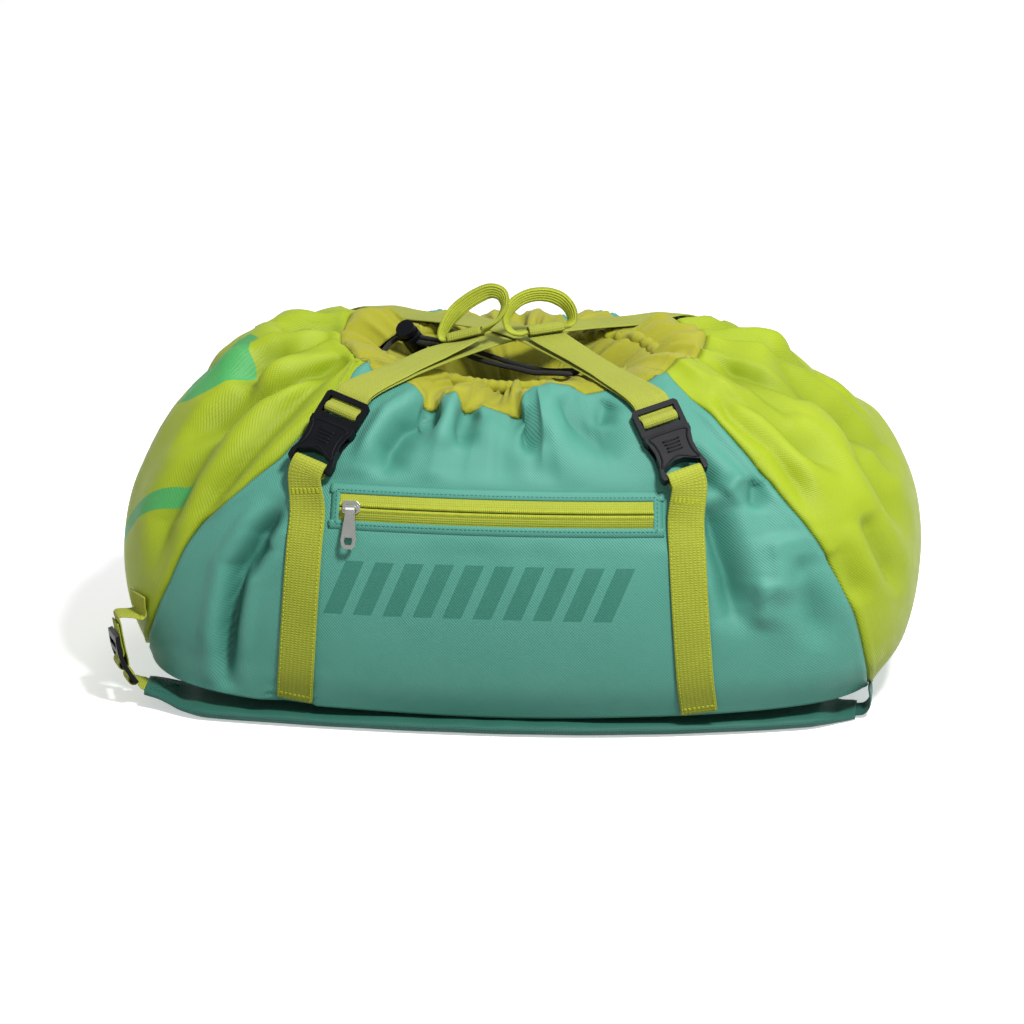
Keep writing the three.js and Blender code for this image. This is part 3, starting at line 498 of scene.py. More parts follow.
def uv_grid(across, along):
    """uv for the rows and columns of a grid, from millimetres across it and along it."""
    return np.stack(np.broadcast_arrays(np.asarray(across)[None, :], np.asarray(along)[:, None]), -1) * MM


def round_section(radius, count):
    """A ring of points round a curve; radius may be one for each of them."""
    turn = 2 * np.pi * np.arange(count) / count
    return np.stack([radius * np.cos(turn), -radius * np.sin(turn)], -1)


def sweep(name, line, across, normal, section, along, closed=False):
    """A body from a section (its own points in across and normal) swept along the line; section may be
    one outline or one for each point. uv is across and along, in metres."""
    section = np.broadcast_to(section, (len(line),) + section.shape[-2:])
    points = line[:, None] + across[:, None] * section[..., :1] + normal[:, None] * section[..., 1:]
    size = points.shape[:2]
    faces = grid_faces(*size, along=True) if closed else tube_faces(*size)
    around = lengths(np.concatenate([section[0], section[0, :1]]), 0)[:-1]
    return make_mesh(name, points, faces, uv_grid(around, along))


def rounded_strip(count, ribs, rib_height, power=8, plain_edge=0.04):
    """The outline of a strap 1 wide and 1 thick: rounded edges, and ribs along it on both faces."""
    a = np.linspace(-0.5, 0.5, count)
    half = np.sqrt(np.maximum(0, 1 - np.abs(2 * a) ** power)) / 2
    half = half + rib_height * np.cos(2 * np.pi * ribs * a) * (np.abs(a) < 0.5 - plain_edge)
    return np.concatenate([np.stack([a, half], 1), np.stack([a, -half], 1)[-2:0:-1]])


def strap_way(stations, step, each=16):
    """Webbing through stations of a point and its width's direction: its middle line every step, that
    direction, the way that it faces, how far along each point is, and its place between the stations."""
    line, where, along = evenly(*curve_through([s[0] for s in stations], each=each), step)
    across = vectors_at(where, np.arange(len(stations)), np.array([s[1] for s in stations], float))
    tangent = unit(np.gradient(line, axis=0))
    across = unit(across - tangent * (across * tangent).sum(1, keepdims=True))
    return line, across, unit(np.cross(across, tangent)), along, where


def ribbon(name, stations, width, thickness, step=1.6, ribs=9, rib_height=0.1, each=16):
    """Webbing through stations (point, width's direction and, where it differs, its width)."""
    line, across, normal, along, where = strap_way(stations, step, each)
    wide = np.array([width if len(s) < 3 else s[2] for s in stations], float)
    outline = rounded_strip(max(16, 4 * ribs + 1), ribs, rib_height / thickness)
    sections = np.broadcast_to(outline, (len(line),) + outline.shape).copy()
    sections[..., 0] *= np.interp(where, np.arange(len(stations)), wide)[:, None]
    sections[..., 1] *= thickness
    return sweep(name, line, across, normal, sections, along)


def turning_frame(line, closed=False):
    """Directions across a curve that don't twist."""
    tangent = unit(np.gradient(line, axis=0))
    if closed:
        tangent = unit(np.roll(line, -1, 0) - np.roll(line, 1, 0))
    first = np.cross(tangent[0], [0, 0, 1.0])
    if np.linalg.norm(first) < 0.1:
        first = np.cross(tangent[0], [1.0, 0, 0])
    across = [unit(first)]
    for t in tangent[1:]:
        a = across[-1] - t * (across[-1] @ t)
        across.append(unit(a))
    across = np.array(across)
    return across, np.cross(across, tangent)


def braided(name, points, radius, step=0.8, sides=16, pitch=7.0, depth=0.07):
    """A braided cord along points: strands that cross each other round it."""
    line, _, along = evenly(*curve_through(points), step)
    across, normal = turning_frame(line)
    turn = 2 * np.pi * np.arange(sides) / sides
    twist = 2 * np.pi * along[:, None] / pitch
    strands = np.maximum(np.abs(np.sin(2 * turn + twist)), np.abs(np.sin(2 * turn - twist)))
    section = round_section(radius * (1 - depth + depth * strands), sides)
    return sweep(name, line, across, normal, section, along), line


def rod(name, line, radius, closed=False):
    across, normal = turning_frame(line, closed)
    return sweep(name, line, across, normal, round_section(radius, 10), lengths(line), closed)


def stitches(name, runs, length=2.2, radius=0.28, gap=3.0):
    """Threads lying along runs of (points, normals): one short rounded thread every gap."""
    rings = ((-0.34, 0.8), (0, 1.0), (0.34, 0.8))  # share of its length, share of its radius
    points, faces = [], []
    for line, normals in runs:
        line, normals = np.asarray(line, float), np.asarray(normals, float)
        along = lengths(line)
        at = np.arange(gap / 2, along[-1], gap)
        if len(at) == 0:
            at = np.array([along[-1] / 2])
        centre = vectors_at(at, along, line)
        up = unit(vectors_at(at, along, normals))
        way = unit(vectors_at(at, along, np.gradient(line, axis=0)))
        for c, w, u, d in zip(centre, way, up, np.cross(up, way)):
            base = len(points)
            for t, r in rings:
                for k in range(6):
                    a = np.pi * k / 3
                    points.append(c + w * t * length + (d * np.cos(a) + u * np.sin(a)) * r * radius)
            points.append(c - w * length * 0.5 - u * radius)
            points.append(c + w * length * 0.5 - u * radius)
            for k in range(6):
                n = (k + 1) % 6
                for ring in (base, base + 6):
                    faces.append([ring + k, ring + 6 + k, ring + 6 + n, ring + n])
                faces.append([base + 18, base + k, base + n])
                faces.append([base + 19, base + 12 + n, base + 12 + k])
    return make_mesh(name, np.array(points), faces)


# ---- materials ----


def srgb(r, g, b, a=1.0):
    """A colour given as 0 to 255 on the screen, in the shader's own scale."""
    return tuple(((c / 255 + 0.055) / 1.055) ** 2.4 if c > 10 else c / 255 / 12.92 for c in (r, g, b)) + (a,)


class Nodes:
    """Short names for building a material's nodes."""

    def __init__(self, name):
        self.material = bpy.data.materials.new(name)
        self.material.use_nodes = True
        self.tree = self.material.node_tree
        self.shader = self.tree.nodes["Principled BSDF"]
        self.space = self.add("TexCoord", out=3)  # the object's own space, in metres

    def put(self, socket, value):
        if isinstance(value, bpy.types.NodeSocket):
            self.tree.links.new(value, socket)
        elif value is not None:
            socket.default_value = value

    def add(self, kind, values=(), out=0, **settings):
        node = self.tree.nodes.new("ShaderNode" + kind)
        for key, value in settings.items():
            setattr(node, key, value)
        for key, value in dict(values).items():
            self.put(node.inputs[key], value)
        return node.outputs[out]

    def math(self, operation, a, b=None):
        return self.add("Math", {0: a, 1: b}, operation=operation)

    def plus(self, a, b):
        return self.math("ADD", a, b)

    def minus(self, a, b):
        return self.math("SUBTRACT", a, b)

    def times(self, a, b):
        return self.math("MULTIPLY", a, b)

    def within(self, value, low, high):
        """1 where value is between low and high, 0 elsewhere."""
        return self.times(self.math("GREATER_THAN", value, low), self.math("LESS_THAN", value, high))

    def wave(self, value, period):
        """A sine of a value in metres; its period is in millimetres."""
        return self.math("SINE", self.times(value, 2 * math.pi / (period * MM)))

    def parts(self, vector):
        return self.add("SeparateXYZ", {0: vector}).node.outputs

    def cloth(self):
        """Metres across and along the cloth."""
        return self.parts(self.add("UVMap", uv_map="cloth"))[:2]

    def tint(self, color, other, mask, strength):
        """The colour with some of the other one where the mask is 1."""
        values = {0: self.times(mask, strength), 6: color, 7: other}
        return self.add("Mix", values, out=2, data_type="RGBA")

    def noise(self, scale, detail):
        values = {"Vector": self.space, "Scale": scale, "Detail": detail, "Roughness": 0.55}
        return self.add("TexNoise", values)

    def ramp(self, value, low, high, to_low=0.0, to_high=1.0):
        values = {"Value": value, "From Min": low, "From Max": high, "To Min": to_low, "To Max": to_high}
        return self.add("MapRange", values)

    def patches(self, scale, detail, low, high, to_low=0.0, to_high=1.0):
        """Noise, with what lies between low and high spread out."""
        return self.ramp(self.noise(scale, detail), low, high, to_low, to_high)

    def bump(self, height, distance, strength, normal=None):
        values = {"Height": height, "Distance": distance, "Strength": strength, "Normal": normal}
        return self.add("Bump", values)

    def finish(self, color, rough, normal=None, **fixed):
        values = {"Base Color": color, "Roughness": rough, "Normal": normal}
        values.update({key.replace("_", " "): value for key, value in fixed.items()})
        for key, value in values.items():
            self.put(self.shader.inputs[key], value)
        return self.material


def woven(name, base, pale, deep, pitch=2.1, sheen=0.05, rough=0.52, mark=None, mark_color=None, weave=0.26):
    """Coated polyester: a fine diagonal twill, slightly worn and uneven in colour, with painted shade in the
    bottoms of folds.
    """
    n = Nodes(name)
    u, v = n.cloth()
    lean = n.plus(n.plus(u, v), n.times(n.noise(40.0, 2.0), 0.0006))
    height = n.plus(n.times(n.wave(lean, pitch), 0.65), n.times(n.wave(n.minus(u, v), 0.62 * pitch), 0.35))
    color = n.tint(base, pale, n.patches(9.0, 3.0, 0.3, 0.7), 0.45)
    color = n.tint(color, deep, n.minus(1.0, n.ramp(height, -1.0, 1.0)), weave)
    color = n.tint(color, deep, n.patches(900.0, 1.0, 0.35, 0.65), 0.06)
    # Painted shade: the fold attribute darkens the cloth towards its deep colour in the bottoms of folds.
    color = n.tint(color, deep, n.add("Attribute", out=2, attribute_name="fold"), 0.65)
    if mark is not None:
        worn = n.patches(260.0, 3.0, 0.28, 0.42)
        color = n.tint(color, mark_color, mark(n), n.plus(0.86, n.times(worn, 0.14)))
    normal = n.bump(height, 0.00013, 0.8, n.bump(n.noise(22.0, 4.0), 0.0012, 0.5))
    roughness = n.patches(60.0, 2.0, 0.3, 0.7, rough - 0.06, rough + 0.08)
    shine = {"Sheen_Weight": sheen, "Sheen_Roughness": 0.4, "Specular_IOR_Level": 0.36}
    return n.finish(color, roughness, normal, **shine)


def webbed(name, base, pale, deep, ribs=2.8, rows=1.7, strong=0.55):
    """Woven tape: ribs along it and fine rows across it."""
    n = Nodes(name)
    u, v = n.cloth()
    cell = n.times(n.ramp(n.wave(u, ribs), -1.0, 1.0), n.ramp(n.wave(v, rows), -1.0, 1.0))
    fuzz = n.patches(700.0, 2.0, 0.3, 0.7)
    color = n.tint(base, deep, n.minus(1.0, cell), strong)
    color = n.tint(color, pale, fuzz, 0.25)
    color = n.tint(color, deep, n.patches(14.0, 2.0, 0.35, 0.7), 0.25)
    height = n.plus(n.times(cell, 0.8), n.times(fuzz, 0.25))
    return n.finish(color, 0.7, n.bump(height, 0.0004, 0.9), Sheen_Weight=0.08, Specular_IOR_Level=0.25)


def moulded(name, base, pale, rough):
    """Moulded plastic with a fine grain, a little paler where it is worn; also used for thread."""
    n = Nodes(name)
    color = n.tint(base, pale, n.patches(120.0, 4.0, 0.45, 0.75), 0.3)
    roughness = n.patches(90.0, 3.0, 0.3, 0.7, rough - 0.04, rough + 0.06)
    return n.finish(color, roughness, n.bump(n.noise(1400.0, 2.0), 0.00003, 0.3), Specular_IOR_Level=0.12)


def plated(name, base, smudged, rough=0.2):
    """Plated metal with faint smudges."""
    n = Nodes(name)
    color = n.tint(base, smudged, n.patches(160.0, 4.0, 0.35, 0.7), 0.12)
    roughness = n.patches(60.0, 2.0, 0.3, 0.7, rough, rough + 0.08)
    return n.finish(color, roughness, n.bump(n.noise(200.0, 1.0), 0.00001, 0.2), Metallic=0.9)


def corded(name, base, pale):
    """Braided cord: the strands are in its shape, the threads in its colour."""
    n = Nodes(name)
    u, v = n.cloth()
    thread = n.ramp(n.wave(n.plus(u, v), 0.7), -1.0, 1.0)
    normal = n.bump(n.plus(thread, n.noise(1500.0, 2.0)), 0.00012, 0.8)
    return n.finish(n.tint(base, pale, thread, 0.5), 0.72, normal, Sheen_Weight=0.04)


def row_of_bars(n):
    """A plain row of slanted bars across the front."""
    x, y, z = n.parts(n.space)
    up = n.minus(z, BARS["z"])
    lean = n.minus(x, n.times(up, BARS["lean"]))
    share = n.math("FRACT", n.math("DIVIDE", n.minus(lean, BARS["x"][0]), BARS["pitch"]))
    bar = n.math("LESS_THAN", share, BARS["bar_share"])
    level = n.within(up, -BARS["half"], BARS["half"])
    return n.times(n.times(bar, n.within(lean, *BARS["x"])), n.times(level, n.math("LESS_THAN", y, 0.0)))


def disc_and_stripe(n):
    """A plain disc and a plain stripe on the left side."""
    _, y, z = n.parts(n.space)
    away = n.add("VectorMath", {0: n.space, 1: DISC["at"]}, out=1, operation="DISTANCE")
    slope = n.times(n.minus(y, STRIPE["at"][1]), STRIPE["slope"])
    level = n.minus(n.minus(z, STRIPE["at"][2]), slope)
    stripe = n.times(n.within(level, -STRIPE["half"], STRIPE["half"]), n.within(y, *STRIPE["y"]))
    return n.math("MAXIMUM", n.math("LESS_THAN", away, DISC["radius"]), stripe)


BARS = {"x": (-0.108, 0.094), "z": 0.104, "half": 0.0185, "pitch": 0.0202, "bar_share": 0.62, "lean": 0.42}
DISC = {"at": (-0.199, -0.016, 0.205), "radius": 0.037}
STRIPE = {"at": (-0.228, -0.0945, 0.145), "slope": -1.0, "half": 0.0085, "y": (-0.101, 0.02)}

JADE, JADE_PALE, JADE_DEEP = srgb(80, 152, 134), srgb(96, 165, 149), srgb(46, 115, 100)
LIME, LIME_PALE, LIME_DEEP = srgb(158, 178, 24), srgb(170, 189, 36), srgb(120, 139, 14)
YELLOW, YELLOW_PALE, YELLOW_DEEP = srgb(168, 167, 36), srgb(181, 180, 52), srgb(120, 119, 16)

LOOKS = {
    "jade": woven("jade_twill", JADE, JADE_PALE, JADE_DEEP),
    "front": woven("jade_front", JADE, JADE_PALE, JADE_DEEP, mark=row_of_bars, mark_color=srgb(52, 122, 104)),
    "lime": woven("lime_twill", LIME, LIME_PALE, LIME_DEEP),
    "lime_left": woven(
        "lime_left", LIME, LIME_PALE, LIME_DEEP, mark=disc_and_stripe, mark_color=srgb(72, 162, 88)
    ),
    "collar": woven(
        "collar_taffeta", YELLOW, YELLOW_PALE, YELLOW_DEEP, pitch=0.9, sheen=0.1, rough=0.5, weave=0.16
    ),
    "webbing": webbed("webbing", srgb(178, 187, 56), srgb(196, 204, 80), srgb(112, 120, 22)),
    "strap": webbed("strap", srgb(164, 171, 62), srgb(178, 185, 82), srgb(124, 131, 36), 1.6, 1.4, 0.4),
    "loop": webbed("loop", srgb(192, 203, 62), srgb(208, 218, 88), srgb(128, 138, 22), 1.9, 1.1, 0.55),
    "zip_tape": webbed("zip_tape", srgb(172, 182, 58), srgb(190, 198, 84), srgb(140, 148, 38), 1.5, 1.2, 0.4),
    "plastic": moulded("black_plastic", srgb(15, 16, 20), srgb(25, 27, 31), 0.4),
    "cord": corded("black_cord", srgb(15, 14, 13), srgb(34, 33, 32)),
    "steel": plated("plated_zinc", srgb(214, 214, 208), srgb(176, 176, 170)),
    "jade_thread": moulded("jade_thread", srgb(42, 112, 104), srgb(60, 130, 120), 0.6),
    "lime_thread": moulded("lime_thread", srgb(190, 198, 56), srgb(206, 212, 90), 0.6),
    # Painted shadow for the gap between the zip's tapes.
    "dark_line": moulded("zip_shadow", srgb(50, 56, 26), srgb(70, 78, 36), 0.8),
    "pad": woven("pad_twill", srgb(42, 100, 85), srgb(54, 114, 98), srgb(26, 78, 65)),
    "dark_jade": woven("dark_jade", srgb(40, 92, 84), srgb(52, 108, 98), srgb(26, 70, 62)),
}


def dress(piece, look, body, nodes=()):
    """Gives a piece its material and its body, and hides the frame's nodes that it stands for."""
    piece.data.materials.append(LOOKS[look])
    if body:
        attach(piece, body)
    if nodes:
        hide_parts(*nodes)
    return piece


# ---- folds that the loose contents and the gathered mouth press into the cloth ----
# Each fold is a line seen from the front: millimetres to the right, millimetres up as seen from above
# the floor at the camera's height. Then its depth, its width, and how high the cloth stands beside it,
# on its left and its right as one goes along it. A negative depth is a ridge.
FOLD_SCALE = 1.65
FOLD_FULL_SHADE_DEPTH = 11.0  # the depth, in millimetres, at which the painted shade in a fold's bottom is at its darkest
VIEW = {"right": 0.0872, "up": 0.951, "back": 0.309, "front_y": 150.0}
FOLDS = [
    ([(-159, 150), (-174, 131), (-188, 108), (-193, 84), (-196, 65), (-197, 40), (-196, 12)], 11, 5, 4, 3),
    ([(-167, 127), (-176, 113), (-186, 99)], 5, 4.5, 2.2, 1),
    ([(-52, 224), (-60, 214), (-75, 204), (-84, 191), (-87, 177), (-84, 165)], 6.5, 7, 3, 3.6),
    ([(1, 221), (5, 210), (10, 199), (13.5, 186)], 7, 8, 3, 1),
    ([(16, 236), (18.7, 211), (18.7, 172)], -4.4, 5.5, 0, 0),
    ([(28, 231), (43, 211), (57, 197), (75, 187)], 4.5, 10, 2, 1.4),
    ([(60, 229), (57, 218), (55, 210)], 4.5, 7, 1.4, 1.4),
    ([(-30, 222), (-36, 206), (-34, 190)], 5, 6, 2, 2),
    ([(112, 194), (128, 176), (140, 168)], 7, 6, 2.8, 1.4),
    ([(140, 166), (147, 174), (156, 180)], -4.2, 5.5, 0, 0),
    ([(162, 178), (161, 172), (159, 155)], 5.4, 6, 1.4, 2),
    ([(125, 159), (130, 151), (142, 111), (147, 88), (161, 72)], 8.5, 9, 4.2, 1.8),
    ([(164, 112), (165, 91), (163, 74)], -4, 6, 0, 0),
    ([(173, 141), (177, 118), (178, 91)], -4, 10, 0, 0),
    ([(190, 128), (198, 96), (206, 60)], 4, 9, 2, 1.4),
    ([(-115, 255), (-145, 245), (-176, 230), (-198, 210), (-213, 191)], 9, 5, 4, 3),
    ([(-115, 252), (-142, 230), (-171, 199), (-203, 159), (-226, 118)], 6, 5, 2.6, 2),
    ([(-115, 277), (-145, 277), (-171, 274)], 7, 4.5, 3, 2),
    ([(-150, 268), (-176, 256), (-189, 230), (-220, 199), (-237, 179)], 8, 6, 3.4, 2.4),
    ([(-190, 216), (-203, 205), (-223, 172), (-240, 138), (-248, 98)], 6, 6, 2.6, 2),
    ([(-125, 266), (-159, 259), (-186, 243), (-203, 226)], 5, 4, 2, 1.6),
    ([(136, 277), (171, 274), (205, 246), (213, 240)], 4.5, 5, 1, 2),
    ([(136, 264), (166, 254), (194, 241), (222, 238)], 8.5, 7, 3.4, 2.6),
    ([(133, 256), (161, 244), (186, 227), (212, 216)], 7, 6, 3.4, 2.4),
    ([(136, 242), (168, 225), (196, 202), (232, 178)], 6.5, 7, 3, 2.2),
    ([(203, 242), (232, 220), (252, 204), (264, 174)], 5.5, 6, 2.2, 1.6),
    ([(224, 226), (240, 192), (257, 162), (270, 138)], 5.5, 6, 2.2, 1.6),
    ([(135, 240), (145, 220), (173, 199), (191, 174), (204, 149)], 4, 5, 1.8, 1.2),
    ([(236, 156), (252, 123), (262, 100)], 4.5, 6, 2, 1.2),
    ([(210, 130), (219, 118), (237, 93)], 3, 8, 1.2, 1),
]


def fold_depth(right, up):
    """How far each point moves inwards for the folds, from its place in the front view."""
    moved = np.zeros(right.shape)
    for line, depth, width, left, other in FOLDS:
        line = np.array(line, float)
        along = lengths(line)
        best = np.full(right.shape, 1e9)
        signed, share = np.zeros(right.shape), np.zeros(right.shape)
        for a, b, start, end in zip(line[:-1], line[1:], along[:-1], along[1:]):
            way = b - a
            t = np.clip(((right - a[0]) * way[0] + (up - a[1]) * way[1]) / (way @ way), 0, 1)
            dx, dy = right - a[0] - t * way[0], up - a[1] - t * way[1]
            far = np.hypot(dx, dy)
            closer = far < best
            best = np.where(closer, far, best)
            side = np.sign(way[0] * dy - way[1] * dx)
            signed = np.where(closer, side * far, signed)
            share = np.where(closer, (start + t * (end - start)) / along[-1], share)
        fade = smooth((share + 0.06) / 0.22) * smooth((1 - share) / 0.38)
        valley = np.exp(-(((np.hypot(best, 1.2) - 1.2) / (width * np.where(signed > 0, 1.8, 0.7))) ** 1.15))
        bank_left = bell(signed - 2.1 * width, 1.3 * width)
        bank_right = bell(signed + 2.1 * width, 1.3 * width)
        moved += FOLD_SCALE * fade * (depth * valley - left * bank_left - other * bank_right)
    return moved


BUCKLES = {  # across, along and out from the sack, and the foot, of each buckle
    -1: np.array([
        [0.8876, -0.40408, -0.2211], [0.4377, 0.59038, 0.67814], [-0.14349, -0.69869, 0.70088],
        [-125.753, -135.673, 180.354],
    ]),
    1: np.array([
        [0.88761, 0.40408, 0.22105], [-0.43763, 0.59027, 0.67828], [0.1436, -0.69879, 0.70077],
        [125.755, -135.674, 180.337],
    ]),
}
BAR = {"y": 44.8, "z": 4.15, "radius": 2.75}  # the plug's bar, and the strap's middle round it


def in_buckle(side, x, y, z):
    frame_of = BUCKLES[side]
    return frame_of[3] + frame_of[0] * x + frame_of[1] * y + frame_of[2] * z


def held_in(side):
    return lambda y, z: (in_buckle(side, 0, y, z), BUCKLES[side][0])


def over_mouth(side):
    """A top strap's way from the back over the mouth to its buckle: points and outward directions."""
    lift = 2.4 if side > 0 else 0.0  # the right strap crosses over the left one
    turn = math.pi + side * 0.86
    points, normals = [], []
    for s, away in ((0.85, 3.0), (0.9, 3.1), (0.95, 3.7)):
        normal = normal_of(sack_point, turn, s)
        points.append(sack_point(turn, s) + normal * away)
        normals.append(normal)
    over = [(77, 66, 230), (40, 34, 235 + 0.6 * lift), (0, -2, 238.4 + lift)]
    for x, y, z in over + [(-38, -39, 235.5 + 0.4 * lift), (-68, -68, 230)]:
        points.append(np.array([-side * x, y, z], float))
        normals.append(np.array([0, 0, 1.0]))
    return points, normals


def lie_under(points, gap=2.0, reach=14.0, fade=13.0):
    """Cloth under a top strap or a buckle lies below it."""
    flat = points.reshape(-1, 3).copy()
    near = np.flatnonzero(flat[:, 2] > 165)
    for side in (-1, 1):
        stations, normals = over_mouth(side)
        buckle = ((62, 0.4), (51, 0.7), (40, 1.0), (20, 1.2), (2, 1.2))
        stations += [in_buckle(side, 0, y, z) for y, z in buckle]
        normals += [BUCKLES[side][2]] * len(buckle)
        line, where, _ = evenly(*curve_through(stations), 3.0)
        normal = unit(vectors_at(where, np.arange(len(stations)), np.array(normals)))
        away = flat[near][:, None] - line[None]
        best = (away**2).sum(-1).argmin(1)
        away, n = away[np.arange(len(near)), best], normal[best]
        height = (away * n).sum(1)
        beside = np.linalg.norm(away - n * height[:, None], axis=1)
        push = np.maximum(0, height + gap) * smooth((reach + fade - beside) / fade) * (height < 30)
        flat[near] -= n * push[:, None]
    return flat.reshape(points.shape)


def stand_up(points):
    """How much the gathered collar stands up at the back of the mouth's two ends."""
    along, across = np.abs(points[..., 0]) - 92, points[..., 1] - 46
    high = np.where(points[..., 0] > 0, 8, 11)
    return high * bell(along, 30) * bell(across, 19)


def rim_line(turn):
    """The middle of the gathered hem at the rim."""
    line = rim_point(turn)
    line[..., 2] += stand_up(line)
    return lie_under(line, 7.5)


def slide_up(grid, amount):
    """Each point slides along its own column of the skin by a number of rows."""
    at = np.clip(np.arange(len(grid))[:, None] + amount, 0, len(grid) - 1)
    low = np.minimum(at.astype(int), len(grid) - 2)
    share = (at - low)[..., None]
    columns = np.arange(grid.shape[1])[None]
    return grid[low, columns] * (1 - share) + grid[low + 1, columns] * share


# Where the front of the collar's seam stands higher or lower than the frame's, at x.
LOBES = [
    (-115, 0), (-108, 4), (-90, 6), (-74, 6), (-66, 8), (-54, 2), (-50, -4), (-41, 5), (-32, 7), (-24, 0),
    (-13, 4), (-2, 1), (8, -3), (13, 10), (20, 15), (32, 16), (44, 14), (55, 6), (69, 4), (97, 4), (108, 6),
    (128, 0),
]


def level_at_zip(skin):
    """The cloth round the zip lies level with it, and is let in under the zip's tapes."""
    x, y, z = np.moveaxis(skin, -1, 0)
    turn = np.arctan2(x, ZIP["centre_y"] - y)
    radius = np.hypot(x, ZIP["centre_y"] - y)
    flat_y, rise = ZIP["radius"] - radius, z - ZIP["height"]
    up = ZIP_NORMAL[2] * flat_y - ZIP_NORMAL[1] * rise
    out = ZIP_NORMAL[1] * flat_y + ZIP_NORMAL[2] * rise
    gap = np.maximum(np.abs(turn) * ZIP["radius"] - ZIP["half_length"], np.abs(up) - ZIP["half_height"])
    level = -SKIN_INSET - ZIP["let_in"] * smooth((5 - gap) / 4)
    moved = (level - out) * smooth((20 - gap) / 14) * (y < 0)
    radius, z = radius - ZIP_NORMAL[1] * moved, z + ZIP_NORMAL[2] * moved
    return np.stack([radius * np.sin(turn), ZIP["centre_y"] - radius * np.cos(turn), z], -1)


def ruffle_phase(turn):
    """How far round its ruffles the hem of the mouth is at each angle."""
    return 52 * turn + 2.6 * np.sin(3 * turn + 0.6) + 1.7 * np.sin(7 * turn + 2.0) + 0.9 * np.sin(17 * turn)


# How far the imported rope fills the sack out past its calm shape, in millimetres, and how high the
# pleats below the collar and the ruffles of the collar stand.
FILL = {"corner": 14, "left_shoulder": 12, "right_shoulder": 6, "right_end": 12, "left_slope": 2}
PLEATS = {"fine": 1.6, "broad": 2.6}
RUFFLES = {"fine": 2.2, "broad": 2.8}


